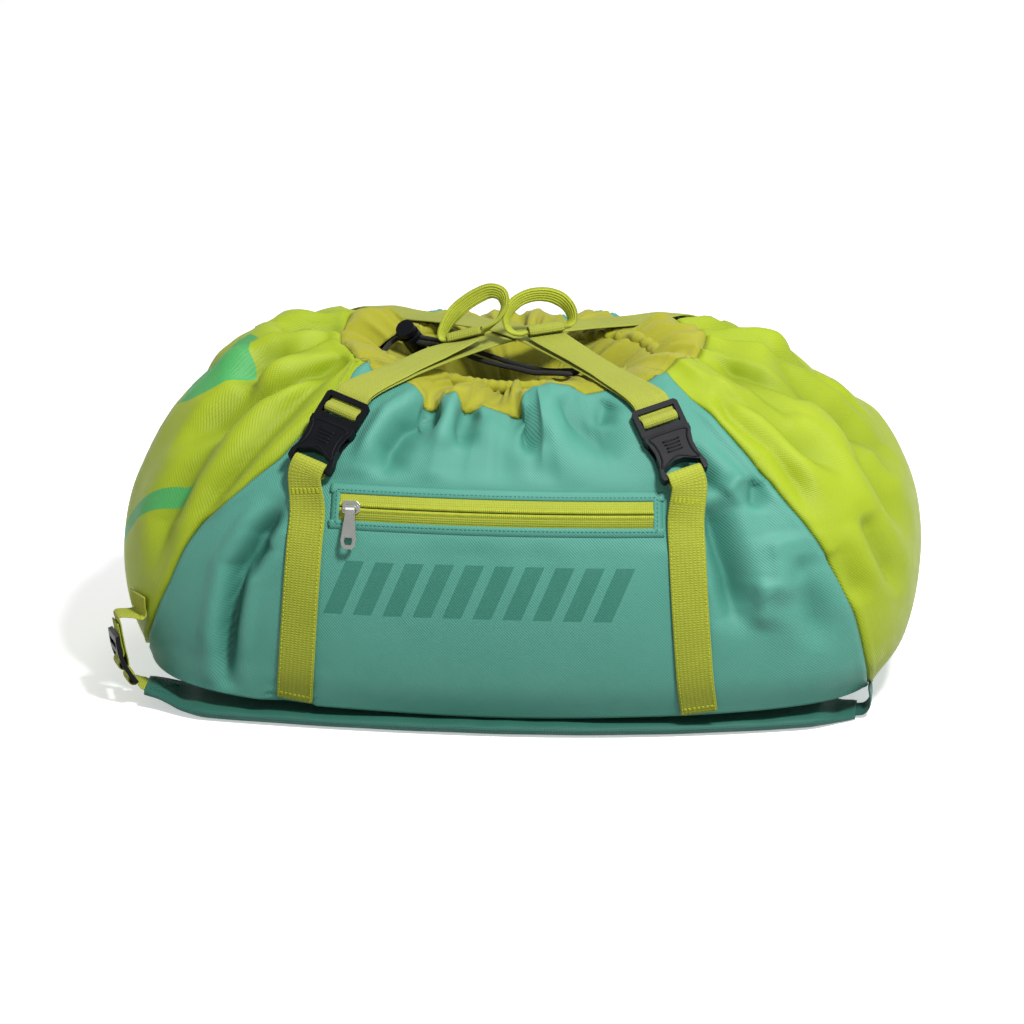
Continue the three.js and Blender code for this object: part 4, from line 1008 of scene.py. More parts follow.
def shaped_skin():
    """The settled cloth on a finer grid, with its folds, scalloped seam, seams and ruffles; its cut
    shape, its seams' columns, the collar seam's row, and how much painted shade each point gets from how deep
    in a fold it is."""
    settled, angle, s = sack_cloth()
    calm = start_shape(angle, s)
    cut = cut_shape(calm, s)
    skin, angle = finer_grid(settled), finer_grid(angle[..., None])[..., 0]
    s_fine = finer(s, False)
    flat = finer_grid(sewn_down(calm, s)[..., None])[..., 0]
    cut = finer_grid(cut)
    split = 2 * (SACK_ROWS - 1)
    rows, columns = skin.shape[:2]
    c = np.concatenate([np.zeros(split + 1), np.linspace(0, 1, rows - split)[1:]])
    low = np.where(np.arange(rows) <= split, s_fine, 1)

    # The seam between the front panel and the collar is scalloped.
    x, y, z = np.moveaxis(skin, -1, 0)
    lobe = np.interp(x, *np.array(LOBES, float).T) * (y < 0)
    spread = np.where(np.arange(rows) <= split, smooth((low - 0.84) / 0.16), (1 - c) ** 1.3)[:, None]
    skin[..., 2] += lobe * spread
    skin[..., 1] += 0.55 * lobe * spread

    # On the left the side panel reaches further up before the collar starts.
    left = np.maximum(0, -np.sin(angle)) ** 4
    skin = slide_up(skin, 8 * left * spread)

    # The rope inside fills out the shoulders, the right end and the lower left corner.
    x, y, z = np.moveaxis(skin, -1, 0)
    free = 1 - np.clip(flat, 0, 1)
    from_corner = np.mod(angle + np.pi, 2 * np.pi) - np.pi + 1.08
    corner = FILL["corner"] * free * smooth((48 - z) / 40) * bell(from_corner, 0.34)
    skin = skin + np.stack([corner * np.sin(angle), -corner * np.cos(angle), 0 * x], -1)
    full = np.where(x < 0, FILL["left_shoulder"], FILL["right_shoulder"])
    shoulder = full * bell(np.abs(x) - 160, 42) * smooth((z - 140) / 70) * smooth((y + 95) / 70) * free
    right_end = FILL["right_end"] * smooth((x - 152) / 90) * (1 - 0.85 * smooth((z - 145) / 50))
    left_slope = FILL["left_slope"] * smooth((-x - 165) / 40) * bell(z - 170, 45)
    skin = skin + np.stack([right_end + left_slope, 0 * x, shoulder], -1)

    normals = grid_normals(skin)
    x, y, z = np.moveaxis(skin, -1, 0)
    mostly_side = 0.3 + 0.7 * smooth((1 - np.cos(angle)) / 0.9)
    pleats = PLEATS["fine"] * (1 - 2 * np.abs(np.sin(17 * angle + 1.1 * np.sin(5 * angle))) ** 0.8)
    pleats += PLEATS["broad"] * (1 - 2 * np.abs(np.sin(10 * angle + 0.8 * np.sin(3 * angle) + 0.7)) ** 0.8)
    pleats *= smooth((low - 0.45) / 0.5)[:, None] * mostly_side * free * (1 - smooth(c / 0.6))[:, None]
    skin = skin + normals * pleats[..., None]
    facing, up = [], []
    for sign in (1, -1):
        to_viewer = -sign * normals[..., 1] * VIEW["up"] + normals[..., 2] * VIEW["back"]
        facing.append(smooth((to_viewer + 0.05) / 0.3))
        up.append(VIEW["up"] * z + VIEW["back"] * (sign * y + VIEW["front_y"]))
    fold = fold_depth(x + VIEW["right"] * y, up[0]) * facing[0]
    fold += 0.8 * fold_depth(-x + 9, up[1] - 4) * facing[1] * (y > 20)
    fold *= free * (smooth(low / 0.06) * (1 - smooth(c / 0.5)))[:, None]
    skin = skin - normals * fold[..., None]

    # Fine ruffles where the drawcord gathers the collar, closer at the sides and the back.
    gathered = smooth((c - 0.12) / 0.6)[:, None] * (0.6 + 0.4 * smooth((1 - np.cos(angle)) / 0.5))
    broad = np.sin(13 * angle + 1.3 * np.sin(2 * angle)) + 0.6 * np.sin(21 * angle + 1.0)
    under = 1 - 0.85 * bell(np.abs(x) - 78, 24) * smooth(-(y + 20) / 20)
    ruffle = RUFFLES["fine"] * gathered * np.sin(ruffle_phase(angle))
    ruffle += RUFFLES["broad"] * broad * (smooth(c / 0.3) * (1 - 0.6 * c))[:, None]
    skin = skin + normals * (ruffle * under)[..., None]
    skin[..., 2] += stand_up(skin) * smooth(c / 0.4)[:, None]

    skin = level_at_zip(skin)

    # Seams lie in a shallow groove between two full edges.
    edges = np.cumsum([0] + [2 * v for v in PANELS.values()])
    along = lengths(np.concatenate([skin, skin[:, :1]], 1), 1)
    seams = np.zeros((rows, columns))
    for edge in edges[:-1]:
        gap = np.abs(along[:, :-1] - along[:, edge : edge + 1])
        gap = np.minimum(gap, along[:, -1:] - gap)
        seams = seams + 1.5 * bell(gap, 1.9) - 0.8 * bell(gap - 5, 2.6)
    seams *= (1 - smooth((low - 0.88) / 0.1))[:, None]
    upward = lengths(skin, 0)
    gap = np.abs(upward - upward[split : split + 1])
    groove = 1.2 * bell(gap, 1.8) - 0.5 * bell(gap - 4.5, 2.4)
    groove = np.where(np.abs(groove) > np.abs(seams), groove, seams)
    groove *= 1 - 0.5 * smooth(c / 0.3)[:, None]
    skin = skin - grid_normals(skin) * groove[..., None]
    return relaxed(lie_under(skin)), cut, edges, split, np.clip(fold / FOLD_FULL_SHADE_DEPTH, 0, 1)


def relaxed(skin, rounds=12):
    """The skin with the few places where it folds over itself drawn apart."""
    for _ in range(rounds):
        normals = grid_normals(skin)
        beside = [np.roll(normals, k, 1) for k in (1, -1, 2, -2)]
        beside += [np.concatenate([normals[:k], normals[:-k]]) for k in (1, 2)]
        beside += [np.concatenate([normals[k:], normals[-k:]]) for k in (1, 2)]
        agree = (normals * unit(sum(beside))).sum(-1)
        pinched = smooth((0.8 - agree) / 0.4)
        for axis in (0, 1):
            next_to = np.maximum(np.roll(pinched, 1, axis), np.roll(pinched, -1, axis))
            pinched = np.maximum(pinched, 0.8 * next_to)
        pinched[0] = pinched[-1] = 0
        down, up = np.concatenate([skin[:1], skin[:-1]]), np.concatenate([skin[1:], skin[-1:]])
        middle = (np.roll(skin, 1, 1) + np.roll(skin, -1, 1) + down + up) / 4
        skin = skin + (middle - skin) * pinched[..., None]
    return skin


def cloth_uv(cut, columns):
    """Metres along and up the cut cloth for one panel of it."""
    part = cut[:, columns]
    across = lengths(part, 1)
    across = across - across[:, across.shape[1] // 2][:, None]
    upward = lengths(part, 0).mean(1)
    return np.stack([across, np.broadcast_to(upward[:, None], across.shape)], -1) * MM


def cloth_piece(name, skin, cut, rows, columns, shade):
    grid = skin[rows][:, columns]
    faces = grid_faces(*grid.shape[:2], around=False)
    piece = make_mesh(name, grid, faces, cloth_uv(cut[rows], columns))
    # The fold attribute carries the painted shade for the bottoms of folds.
    fold = piece.data.attributes.new("fold", "FLOAT", "POINT")
    fold.data.foreach_set("value", shade[rows][:, columns].astype(np.float32).ravel())
    thicken(piece, 0.5)
    return piece


# ---- the sack ----


def make_sack():
    """The eight pieces of the sack's and the collar's cloth; returns the sack's lower edge."""
    skin, cut, edges, split, shade = shaped_skin()
    rows, columns = skin.shape[:2]
    wrap = np.arange(columns + 1) % columns
    looks = {"front": "front", "right": "lime", "back": "jade", "left": "lime_left"}
    nodes = {side: f"{side}_panel" if side in ("front", "back") else f"{side}_side_panel" for side in PANELS}
    for number, side in enumerate(PANELS):
        around = wrap[np.arange(edges[number], edges[number + 1] + 1)]
        for part, low, high in (("cloth", 0, split), ("collar", split, rows - 1)):
            span = np.arange(low, high + 1)
            piece = cloth_piece(f"{side}_{part}", skin, cut, span, around, shade)
            if part == "cloth":
                dress(piece, looks[side], "bag", [nodes[side]])
            else:
                dress(piece, "collar", "bag", [f"collar_{side}"])
            size = cut[span][:, around]
            wide = float(lengths(size, 1)[:, -1].max()) * MM
            tall = float(lengths(size, 0)[-1].max()) * MM
    return skin[0]


PAD = {"width": 60.0, "end": 34.0, "left": -243.0, "right": 240.0, "front_y": -154.0, "bend": (1300.0, 700.0)}


def pad_line(x):
    """The middle of the shoulder pad, which bends a little round the sack, at x."""
    bend = np.where(np.asarray(x) < 0, *PAD["bend"])
    return PAD["front_y"] + PAD["width"] / 2 + np.asarray(x) ** 2 / (2 * bend)


def make_base(edge):
    """The floor of the bag: flat at the back, raised over the shoulder strap at the front."""
    shares = np.array([1.0, 0.975, 0.94, 0.9, 0.86, 0.8, 0.73, 0.65, 0.56, 0.46, 0.35, 0.23, 0.11, 0.02])
    x, y = edge[None, :, 0] * shares[:, None], edge[None, :, 1] * shares[:, None]
    over = 1 - smooth((y - pad_line(x) - 44) / 30)
    floor = over * 11.2 + 0.3 + 0.5 * np.sin(x / 21 + 1) * np.sin(y / 17) * (1 - over)
    rise = smooth((shares - 0.7) / 0.3)[:, None]
    grid = np.stack([x, y, floor + (edge[None, :, 2] - floor) * rise + 0.4], -1)
    piece = make_mesh("base_cloth", grid, grid_faces(*grid.shape[:2])[:, ::-1], grid[..., :2] * MM)
    thicken(piece, 1.0)
    dress(piece, "jade", "bag", ["base_panel"])


make_base(make_sack())


def make_lining():
    """The flat pocket behind the zip."""
    angles, heights = np.linspace(-0.66, 0.66, 60), np.linspace(0.16, 0.72, 30)
    a, s = np.meshgrid(angles, heights)
    hang = 1.2 * np.sin(a * 19 + s * 5) * smooth((0.7 - s) / 0.3)
    grid = sack_point(a, s) - normal_of(sack_point, a, s) * (5.0 + np.abs(hang))[..., None]
    uv = np.stack([lengths(grid, 1), lengths(grid, 0)], -1) * MM
    piece = make_mesh("pocket_cloth", grid, grid_faces(*grid.shape[:2], around=False), uv)
    thicken(piece, 0.6)
    dress(piece, "dark_jade", "bag", ["pocket_lining"])


make_lining()

# ---- webbing sewn to the sack ----
WEBBING_WIDTH, WEBBING = 25.0, 1.6


def station_at(angle, s, lift):
    across = unit(sack_point(angle + 0.01, s) - sack_point(angle - 0.01, s))
    return sack_point(angle, s) + normal_of(sack_point, angle, s) * lift, across


def sewn_station(side, s, back=False, lift=1.5):
    return station_at(float(angle_at_x(side * strap_x(s), s, back)), s, lift)


def thread_runs(way, inset, lift):
    """Lines just inside both edges of a strap, for its topstitching."""
    line, across, normal = way[:3]
    half = WEBBING_WIDTH / 2 - inset
    return [(line + across * sign * half + normal * lift, normal) for sign in (-1, 1)]


def cross_rows(way, at, half, lift, rows, gap):
    """Short rows of thread across a strap, side by side: a bartack."""
    along = way[3]
    runs = []
    for k in range(rows):
        p, a, n = (vectors_at(at + (k - (rows - 1) / 2) * gap, along, v) for v in way[:3])
        runs.append((np.array([p + a * half * share + n * lift for share in (-1, 0, 1)]), np.array([n] * 3)))
    return runs


SIDES = {"left": -1, "right": 1}
EDGE_INSET, THREAD_LIFT, STITCH = 1.6, 0.85, (2.3, 0.3, 3.0)


def make_sewn_webbing(name, side):
    held = held_in(side)
    sewn = [sewn_station(side, s) for s in (0.02, 0.15, 0.3, 0.43, 0.54, 0.63)]
    bar = ((-6.5, 3), (-1.2, 6.2), (2.2, 6.9), (4.9, 5.6), (5.1, 2.4), (2.4, 0.8), (-1.2, 0.6), (-4, 0.2))
    wrap = [held(*p) for p in bar]
    front = ribbon(f"{name}_front_tape", sewn + wrap, WEBBING_WIDTH, WEBBING)
    dress(front, "webbing", "bag", [f"{name}_front_webbing"])
    way, upper = strap_way(sewn, 2.0), strap_way(sewn[-2:] + wrap[:2], 2.0)
    runs = thread_runs(way, EDGE_INSET, THREAD_LIFT)
    runs += cross_rows(upper, upper[3][-1] - 17, 10.5, 0.95, 5, 0.75)
    runs += cross_rows(way, 5, 10.5, 0.9, 2, 1.0)
    dress(stitches(f"{name}_front_stitching", runs, *STITCH), "lime_thread", "bag")
    behind = [sewn_station(side, s, True, 1.15) for s in np.linspace(0.02, 0.94, 13)]
    back = ribbon(f"{name}_back_tape", behind, WEBBING_WIDTH, WEBBING)
    dress(back, "webbing", "bag", [f"{name}_back_webbing"])
    runs = [(edge, -normal) for edge, normal in thread_runs(strap_way(behind, 2.0), EDGE_INSET, -THREAD_LIFT)]
    dress(stitches(f"{name}_back_stitching", runs, *STITCH), "lime_thread", "bag")


# ---- pull loops and top straps ----
HEMS = {  # where each rolled hem is, along it, up from it and towards the strap's tail
    -1: (
        (-31, -31, 245), (0.9392, -0.16158, 0.30297), (-0.24199, 0.31448, 0.9179),
        (0.2436, 0.93541, -0.25626),
    ),
    1: (
        (23, -22, 248), (0.94052, 0.33018, 0.08004), (-0.10649, 0.06276, 0.99233),
        (-0.32263, 0.94183, -0.09418),
    ),
}
RINGS = {  # each loop, along its hem and up from it
    -1: [
        (17, 1.5), (26, 6), (32, 14), (31.5, 21.5), (25, 25.5), (13, 24), (-1, 18.5), (-11, 11), (-16, 4.5),
        (-16, 0.5),
    ],
    1: [
        (16, 0.6), (19, 4.6), (18, 12), (12, 19.5), (3, 24), (-9, 25), (-20, 21), (-26, 13), (-26, 5),
        (-20, 0),
    ],
}
LOOP_TILT = 74.0  # degrees that each ring is flared towards the front


def make_loop(name, side):
    """A pull loop: flat where it lies in its hem, and a ribbed ring flared towards the front."""
    at, along, up, back = (np.array(v, float) for v in HEMS[side])
    middle = np.mean(RINGS[side], 0)
    tilt = math.radians(LOOP_TILT)

    def station(u, v, width, share=0.0):
        outward = unit(along * (u - middle[0]) + up * (v - middle[1]))
        across = back * math.cos(tilt * share) - outward * math.sin(tilt * share)
        return at + along * u + up * v, across, width

    last = len(RINGS[side]) - 1
    wide, in_hem = 11.0, 4.4
    ring = [station(u, 0, in_hem) for u in (0.6, 7, 12.8)]
    for i, (u, v) in enumerate(RINGS[side]):
        ring.append(station(u, v, wide, min(1, 3 * i / last, 3 * (last - i) / last)))
    ring += [station(u, 0, in_hem) for u in (-12.8, -7, -0.6)]
    loop = ribbon(f"{name}_loop", ring, wide, 1.8, step=1.2, ribs=6, rib_height=0.34)
    dress(loop, "loop", f"{name}_loop", [f"{name}_pull_loop"])


def make_top_strap(name, side):
    """The strap over the mouth, through the buckle's plug, back along itself and into its rolled hem."""
    held = held_in(side)
    points, normals = over_mouth(side)
    tension = []
    for i, point in enumerate(points):
        way = points[min(i + 1, len(points) - 1)] - points[max(i - 1, 0)]
        tension.append((point, unit(np.cross(normals[i], way))))
    through = [held(62, 0.4), held(51, 0.7), held(BAR["y"] + 1.6, 1.2)]
    wrap = []
    for a in (20, 60, 90, 120, 160, 200):
        turn, radius = math.radians(a), BAR["radius"]
        wrap.append(held(BAR["y"] - radius * math.sin(turn), BAR["z"] - radius * math.cos(turn)))
    wrap += [held(47.9, 5.5), held(49.6, 3.6), held(53, 3), held(62, 2.8)]
    diagonal = np.array([0.7, 0.71 * side, 0])
    tail = [(np.array([side * 68, -67, 232.6]), diagonal), (np.array([side * 50, -50, 237.5]), diagonal)]
    at, along, up, back = (np.array(v, float) for v in HEMS[side])
    hem = []
    for a in np.radians(np.linspace(-90, 205, 10)):
        hem.append((at + (up * math.sin(a) + back * math.cos(a)) * 3.7, along))
    way = tension + through + wrap + tail + hem
    strap = ribbon(f"{name}_strap", way, WEBBING_WIDTH, WEBBING, step=1.2, ribs=12, rib_height=0.07, each=24)
    dress(strap, "strap", None, [f"{name}_top_strap"])
    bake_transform(strap)


for side_name, side_sign in SIDES.items():
    make_sewn_webbing(side_name, side_sign)
    make_loop(side_name, side_sign)
    make_top_strap(side_name, side_sign)

# ---- hard pieces: the frame's shapes with their edges rounded ----


def rounded_copy(node, body, look, bevel, angle=32):
    """A copy of a frame node with softened edges, as moulding or casting leaves them."""
    source = next(o for o in bpy.data.objects if o.get("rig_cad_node") == node)
    mesh = source.data.copy()
    mesh.materials.clear()
    piece = add_object(f"{node}_shape", mesh)
    weld = piece.modifiers.new("weld", "WELD")
    weld.merge_threshold = 0.00002
    edges = piece.modifiers.new("edges", "BEVEL")
    edges.width, edges.segments, edges.limit_method = bevel * MM, 2, "ANGLE"
    edges.angle_limit = math.radians(angle)
    edges.use_clamp_overlap = True
    mesh.polygons.foreach_set("use_smooth", [True] * len(mesh.polygons))
    even = piece.modifiers.new("shading", "WEIGHTED_NORMAL")
    even.keep_sharp = True
    dress(piece, look, body, [node])


def make_face(name, side):
    """A raised edge and a few grip ribs moulded on the face of a buckle's socket."""
    right = [(13.4, 9), (11.6, 14), (10.9, 21), (11.8, 27), (13.4, 31.5)]
    edge = [*right, (0, 33), *[(-x, y) for x, y in right[::-1]], (0, 14.5)]
    rim, _ = curve_through([in_buckle(side, x, y, 8.0) for x, y in edge], closed=True, each=6)
    lines = [(rim[:-1], True)]
    for y, half in ((19, 5.5), (21.6, 5), (24.2, 5.5), (26.8, 6)):
        lines.append((np.array([in_buckle(side, x, y, 7.95) for x in np.linspace(-half, half, 7)]), False))
    for number, (line, closed) in enumerate(lines):
        piece = rod(f"{name}_socket_mould_{number}", line, 0.7, closed)
        dress(piece, "plastic", "bag")


for side_name, side_sign in SIDES.items():
    make_face(side_name, side_sign)
    rounded_copy(f"{side_name}_buckle_socket", "bag", "plastic", 0.45)
    rounded_copy(f"{side_name}_buckle_plug", f"{side_name}_plug", "plastic", 0.4)
rounded_copy("strap_adjuster", "strap_adjuster", "plastic", 0.5)
rounded_copy("cord_lock_body", "cord_lock", "plastic", 0.35)
rounded_copy("cord_lock_button", "cord_lock_button", "plastic", 0.5)
rounded_copy("cord_lock_spring", "cord_lock", "steel", 0.05)
rounded_copy("zip_slider", "zip_slider", "steel", 0.18)
rounded_copy("zip_pull", "zip_pull", "steel", 0.2)

# ---- the zip ----


def zip_point(x, up, out):
    """A point on the zip: x along it, up across the tapes and out from the cloth."""
    y = ZIP["y"] + ZIP_NORMAL[2] * up + ZIP_NORMAL[1] * out
    z = ZIP["height"] - ZIP_NORMAL[1] * up + ZIP_NORMAL[2] * out
    radius = ZIP["centre_y"] - y
    turn = np.asarray(x) / ZIP["radius"]
    return np.stack([radius * np.sin(turn), ZIP["centre_y"] - radius * np.cos(turn), z + 0 * turn], -1)


def zip_strip(name, outline, half_length, look, nodes=(), step=2.0):
    """A strip along the zip from its section in (up, out)."""
    xs = np.linspace(-half_length, half_length, int(2 * half_length / step) + 1)
    outline = np.array(outline, float)
    points = np.stack([zip_point(xs, u, o) for u, o in outline], 1)
    piece = make_mesh(name, points, tube_faces(*points.shape[:2]), uv_grid(lengths(outline), xs))
    dress(piece, look, "bag", nodes)


def make_zip():
    half, length = ZIP["half_height"], ZIP["half_length"]
    for name, sign in (("upper", 1), ("lower", -1)):
        section = [(0.45, -0.9), (0.35, 0.3), (0.9, 0.75), (2.2, 0.85), (3.0, 0.45), (3.6, 0.2)]
        section += [(half + 2.5, 0.15), (half + 2.5, -0.9)]
        section = [(sign * u, o) for u, o in section][::sign]
        zip_strip(f"zip_{name}", section, length, "zip_tape", [f"zip_tape_{name}"], 1.5)
        teeth = []
        for x in np.arange(-length + 1.2, length - 1, 1.35):
            p = [zip_point(x, sign * u, o) for u, o in ((0.7, 0.78), (1.6, 1.02), (2.7, 0.72))]
            teeth.append((np.array(p), np.array([ZIP_NORMAL] * 3)))
        rows = stitches(f"zip_{name}_coil", teeth, 2.2, 0.36, 9.0)
        dress(rows, "lime_thread", "bag")
    # A dark strip between the tapes: painted shadow in the gap behind the coils.
    gap = [(-0.34, -0.8), (0.34, -0.8), (0.34, 0.12), (-0.34, 0.12)]
    zip_strip("zip_gap", gap, length, "dark_line")
    # A folded edge of the front cloth frames the zip, with a row of topstitching round it.
    wide = 6.4
    fold = [(0, 0.0), (0.1, 0.6), (0.6, 0.95), (2, 1.0), (wide - 2.4, 0.6), (wide, -0.4)]
    fold += [(wide, -1.2), (0, -1.2)]
    for name, sign in (("top", 1), ("bottom", -1)):
        section = [(sign * (half - 0.6 + u), o) for u, o in fold][::sign]
        zip_strip(f"zip_welt_{name}", section, length + wide, "jade")
    for name, sign in (("left", -1), ("right", 1)):
        outline = np.array(fold)
        ups = np.linspace(-half - 1.2, half + 1.2, 24)
        points = np.array([[zip_point(sign * (length - 0.6 + u), up, o) for u, o in outline] for up in ups])
        faces = tube_faces(*points.shape[:2], flip=sign < 0)
        welt = make_mesh(f"zip_welt_{name}", points, faces, uv_grid(outline[:, 0], ups))
        dress(welt, "jade", "bag")
    across, run = half + 1.9, length + 1.9
    xs, ups = np.linspace(-run, run, 120), np.linspace(-across, across, 16)
    lines = [zip_point(xs, across, 1.0), zip_point(xs, -across, 1.0)]
    lines += [np.array([zip_point(x, up, 1.0) for up in ups]) for x in (-run, run)]
    runs = [(line, np.tile(ZIP_NORMAL, (len(line), 1))) for line in lines]
    dress(stitches("zip_topstitching", runs, 2.0, 0.3, 2.9), "jade_thread", "bag")


make_zip()

# ---- the drawcord ----
CORD_RADIUS = 1.8
CASING = (math.radians(-80), math.radians(249))
LOCK_AT, LOCK_CORD = np.array([-71.0, 6, 231]), np.array([0.87999, -0.47499, 0])
LOCK_UP, LOCK_SIDE = np.array([-0.32953, -0.61049, 0.72022]), np.array([0.3421, 0.63378, 0.69375])


def lock_point(along, side, up=0.0):
    return LOCK_AT + LOCK_CORD * along + LOCK_SIDE * side + LOCK_UP * up


TAIL = [lock_point(along, -2) for along in (-9, 0, 20, 36)]
TAIL += [
    (-27, -22, 227), (-12, -29, 225), (4, -36, 224), (16, -43, 223.5), (25, -50, 225.5), (34, -58, 228),
    (43, -60, 228.5), (47, -53, 228), (42, -46, 226.5), (31, -41, 224.5), (20, -34, 223), (5, -27, 224),
    (-10, -20, 226), (-24, -14, 228.5),
]
TAIL += [lock_point(along, 2) for along in (36, 20, 0, -9)]


def make_drawcord():
    tail, line = braided("cord_tail", TAIL, CORD_RADIUS)
    dress(tail, "cord", "bag", ["drawcord_tail"])
    length = float(lengths(line)[-1]) * MM
    around = rim_line(np.linspace(CASING[0] - 0.009, CASING[1] + 0.009, 41))
    first = [lock_point(-10, -2), lock_point(-12.5, -2.3, -0.4)]
    last = [lock_point(-12.5, 2.3, -0.4), lock_point(-10, 2)]
    ring, _ = braided("cord_ring", [*first, *around, *last], CORD_RADIUS)
    dress(ring, "cord", "bag", ["drawcord"])


def make_casing():
    """The hem round the mouth, ruffled where the cord has drawn it together."""
    turn = np.linspace(*CASING, 620)
    line = rim_line(turn)
    across, normal = turning_frame(line)
    phase = ruffle_phase(turn)[:, None]
    strength = (0.35 + 0.65 * smooth((1 - np.cos(turn)) / 0.6))[:, None]
    sides = 22
    section = 2 * np.pi * np.arange(sides) / sides
    pleat = np.sin(phase + 0.7 * np.sin(section + 1)) * strength
    crumple = np.sin(2.3 * phase + 3 * section) * 0.35 * strength
    outline = round_section(4.4 + 0.95 * pleat + 0.5 * crumple, sides)
    hem = sweep("casing", line, across, normal, outline, lengths(line) * 1.6)
    dress(hem, "collar", "bag", ["drawcord_casing"])


def make_mouth_lining():
    """The inside of the gathered collar, hanging below the rim."""
    turn = np.linspace(0, 2 * np.pi, 560, endpoint=False)
    depth = np.linspace(0, 1, 26)
    rim = rim_line(turn)
    middle = np.array([MOUTH["x"], 0, 0])
    inward = unit((middle - rim) * np.array([1, 1, 0]))
    phase = 16 * turn + 2.1 * np.sin(3 * turn + 0.4) + 1.3 * np.sin(7 * turn + 1.1)
    fold = np.sin(phase) + 0.4 * np.sin(2.3 * phase + 1.0)
    t = depth[:, None]
    reach = 3.2 + 33 * t**0.8 + (0.6 + 3.2 * t) * fold[None, :]
    drop = 0.5 + 34 * t**1.3 + 2.5 * t * np.sin(0.7 * phase)[None, :]
    grid = rim[None] + inward[None] * reach[..., None]
    grid[..., 2] -= drop
    uv = np.stack(np.broadcast_arrays(turn[None, :] * 0.13, t * 0.062), -1)
    piece = make_mesh("mouth_lining", grid, grid_faces(*grid.shape[:2]), uv)
    thicken(piece, 0.5, 0)
    dress(piece, "collar", "bag")


make_drawcord()
make_casing()
make_mouth_lining()

# ---- the shoulder strap ----
PAD_LIFT, PAD_THICK, PAD_FLAT = 9.0, 9.2, 4.4
UP = np.array([0, 0, 1.0])


def pad_lift(x):
    return PAD_LIFT * smooth((-198 - x) / 45)


def pad_half(x):
    to_end = np.minimum((x - PAD["left"]) / 45, (PAD["right"] - x) / 32)
    return PAD["end"] / 2 + (PAD["width"] - PAD["end"]) / 2 * smooth(to_end)


def pad_full(x):
    """1 along the soft part of the pad, 0 where its ends are sewn flat."""
    return np.minimum(smooth((x - PAD["left"] - 24) / 18), smooth((PAD["right"] - x - 12) / 14))


def make_pad():
    """The padded part: soft and crowned, flattened where its ends are sewn through."""
    ends = np.linspace(PAD["left"], -205, 30)[:-1], np.linspace(205, PAD["right"], 26)[1:]
    xs = np.concatenate([ends[0], np.linspace(-205, 205, 170), ends[1]])
    turn = 2 * np.pi * np.arange(48) / 48
    cos, sin = np.cos(turn), np.sin(turn)
    side = np.sign(cos) * np.abs(cos) ** 0.55
    level = np.sign(sin) * np.abs(sin) ** 0.6
    full = pad_full(xs)
    thick = PAD_FLAT + (PAD_THICK - PAD_FLAT) * full
    half = pad_half(xs) - 0.6 * full * np.sin(xs / 19) ** 2
    y = pad_line(xs)[:, None] + half[:, None] * side
    crease = 0.5 * np.sin(xs / 7.3 + 2 * np.sin(xs / 31))[:, None] * np.abs(level) * np.abs(side) ** 2
    z = thick[:, None] / 2 * (1 + level) + pad_lift(xs)[:, None] + crease * (level > 0)
    points = np.stack([np.broadcast_to(xs[:, None], y.shape), y, np.maximum(z, 0.05)], -1)
    uv = np.stack([points[..., 0], points[..., 1] + points[..., 2]], -1) * MM
    pad = make_mesh("shoulder_pad", points, tube_faces(*y.shape, flip=True), uv)
    layers = ["shoulder_pad_backing", "shoulder_pad_foam", "shoulder_pad_face"]
    dress(pad, "pad", "shoulder_strap", layers)
    # Piping along both long edges.
    x = np.linspace(PAD["left"] + 2, PAD["right"] - 2, 60)
    level = pad_lift(x) + 0.52 * (PAD_FLAT + (PAD_THICK - PAD_FLAT) * pad_full(x))
    for name, sign in (("front", -1), ("back", 1)):
        edge = np.stack([x, pad_line(x) + sign * (pad_half(x) - 0.4), level], 1)
        piping = rod(f"pad_piping_{name}", curve_through(edge, each=4)[0], 1.3)
        dress(piping, "dark_jade", "shoulder_strap")
    # The box stitch and a bartack at the left end.
    box, across = np.linspace(-240, -222, 7), np.linspace(-12, 12, 7)
    rows = [(box, np.full(7, side)) for side in (-11.0, 11.0)]
    rows += [(np.full(7, x), across) for x in (-240.0, -222.0, -216.0, -214.5, -213.0)]
    rows += [(box, sign * np.linspace(-11, 11, 7)) for sign in (1, -1)]
    runs = []
    for x, aside in rows:
        runs.append((np.stack([x, pad_line(x) + aside, 4.5 + pad_lift(x)], 1), np.tile(UP, (7, 1))))
    dress(stitches("pad_stitching", runs, 2.0, 0.3, 2.8), "jade_thread", "shoulder_strap")


make_pad()

# The adjuster's width, its length, the way that it faces, and where it is.
ADJUSTER = np.array([
    [0.28888, -0.95058, 0.1138], [-0.36652, 0, 0.93041], [-0.88442, -0.31049, -0.34841], [-251, -101.289, 17],
])


def in_adjuster(y, z):
    return ADJUSTER[3] + ADJUSTER[1] * y + ADJUSTER[2] * z, ADJUSTER[0]


def on_pad(end, x, z, way):
    """A station x past one end of the pad, at height z; way is 1 or -1."""
    return np.array([PAD[end] + x, float(pad_line(PAD[end])), z]), np.array([0, 1.0 * way, 0])


def round_bar(y, z, radius, degrees):
    """Stations round one of the adjuster's bars."""
    return [in_adjuster(y - radius * math.sin(a), z - radius * math.cos(a)) for a in np.radians(degrees)]


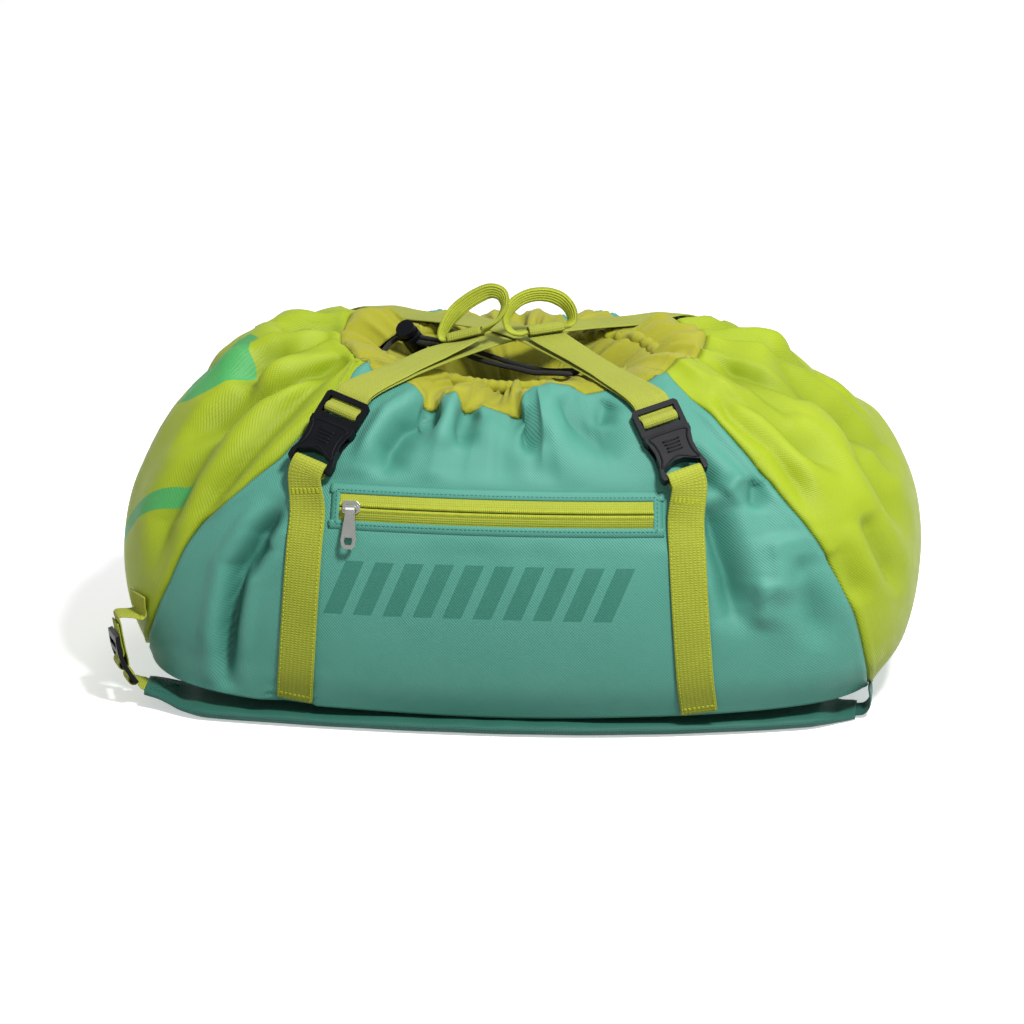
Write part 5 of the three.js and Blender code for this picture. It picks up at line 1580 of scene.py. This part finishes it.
def make_strap_webbing():
    """The pad's short webbing, the webbing from the bag to the adjuster, and the right end's anchor."""
    flat = [on_pad("left", x, z, -1) for x, z in ((6, 11.2), (1, 11.5), (-3, 13.2))]
    wrap = round_bar(2, 2.2, 3.7, np.arange(60, 301, 30))
    piece = ribbon("pad_tape", flat + wrap, 24.0, 1.3)
    dress(piece, "webbing", "shoulder_strap", ["shoulder_pad_webbing"])
    turn = math.radians(-69)
    sewn = [station_at(turn, s, 1.35) for s in (0.28, 0.25, 0.22)]
    load = [in_adjuster(*p) for p in ((46, -5), (41, -4), (36, -2.8), (30, -1.6), (24, -0.4), (18, 0.4))]
    grip_at, plate = 14.25, 35.5  # the grip bar's place on the plate, and the bowed plate's length
    bow = 3.2 * math.sin(math.pi * grip_at / plate) + 1.6
    grip = round_bar(grip_at, bow, 3.35, [0, 35, 70, 110, 145, 180, 215])
    tail = [in_adjuster(*p) for p in ((18.6, 4.2), (20.8, 2), (25, 1.2), (31, 0.1), (36, -1.1), (42, -2.2))]
    piece = ribbon("adjuster_tape", sewn + load + grip + tail, 24.0, 1.3, each=24)
    dress(piece, "webbing", None, ["adjuster_webbing"])
    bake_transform(piece)
    spots = [(-6, 2.4), (1, 2.5), (5.5, 3.4), (9, 7.5), (10, 14), (9, 22)]
    stations = [on_pad("right", x, z, 1) for x, z in spots]
    piece = ribbon("anchor_tape", stations, WEBBING_WIDTH, WEBBING)
    dress(piece, "dark_jade", None, ["shoulder_anchor_webbing"])
    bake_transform(piece)


make_strap_webbing()

# ---- the floor ----


def make_floor():
    """A plain pale floor that curves up behind the bag."""
    reach, back, bend, top = 12000, 9000, 1500, 6000.0
    line = [(y, 0.0) for y in np.linspace(-reach, back, 12)]
    for a in np.linspace(0.1, math.pi / 2, 14):
        line.append((back + bend * math.sin(a), bend - bend * math.cos(a)))
    line.append((back + bend, top))
    points = np.array([[[x, y, z] for x in (-reach, reach)] for y, z in line])
    faces = [[2 * i, 2 * i + 1, 2 * i + 3, 2 * i + 2] for i in range(len(line) - 1)]
    floor = make_mesh("floor", points, faces)
    n = Nodes("pale_floor")
    n.finish(srgb(248, 248, 248), 0.9, Emission_Color=(1, 1, 1, 1), Emission_Strength=0.45)
    floor.data.materials.append(n.material)
    floor.visible_diffuse = False


make_floor()
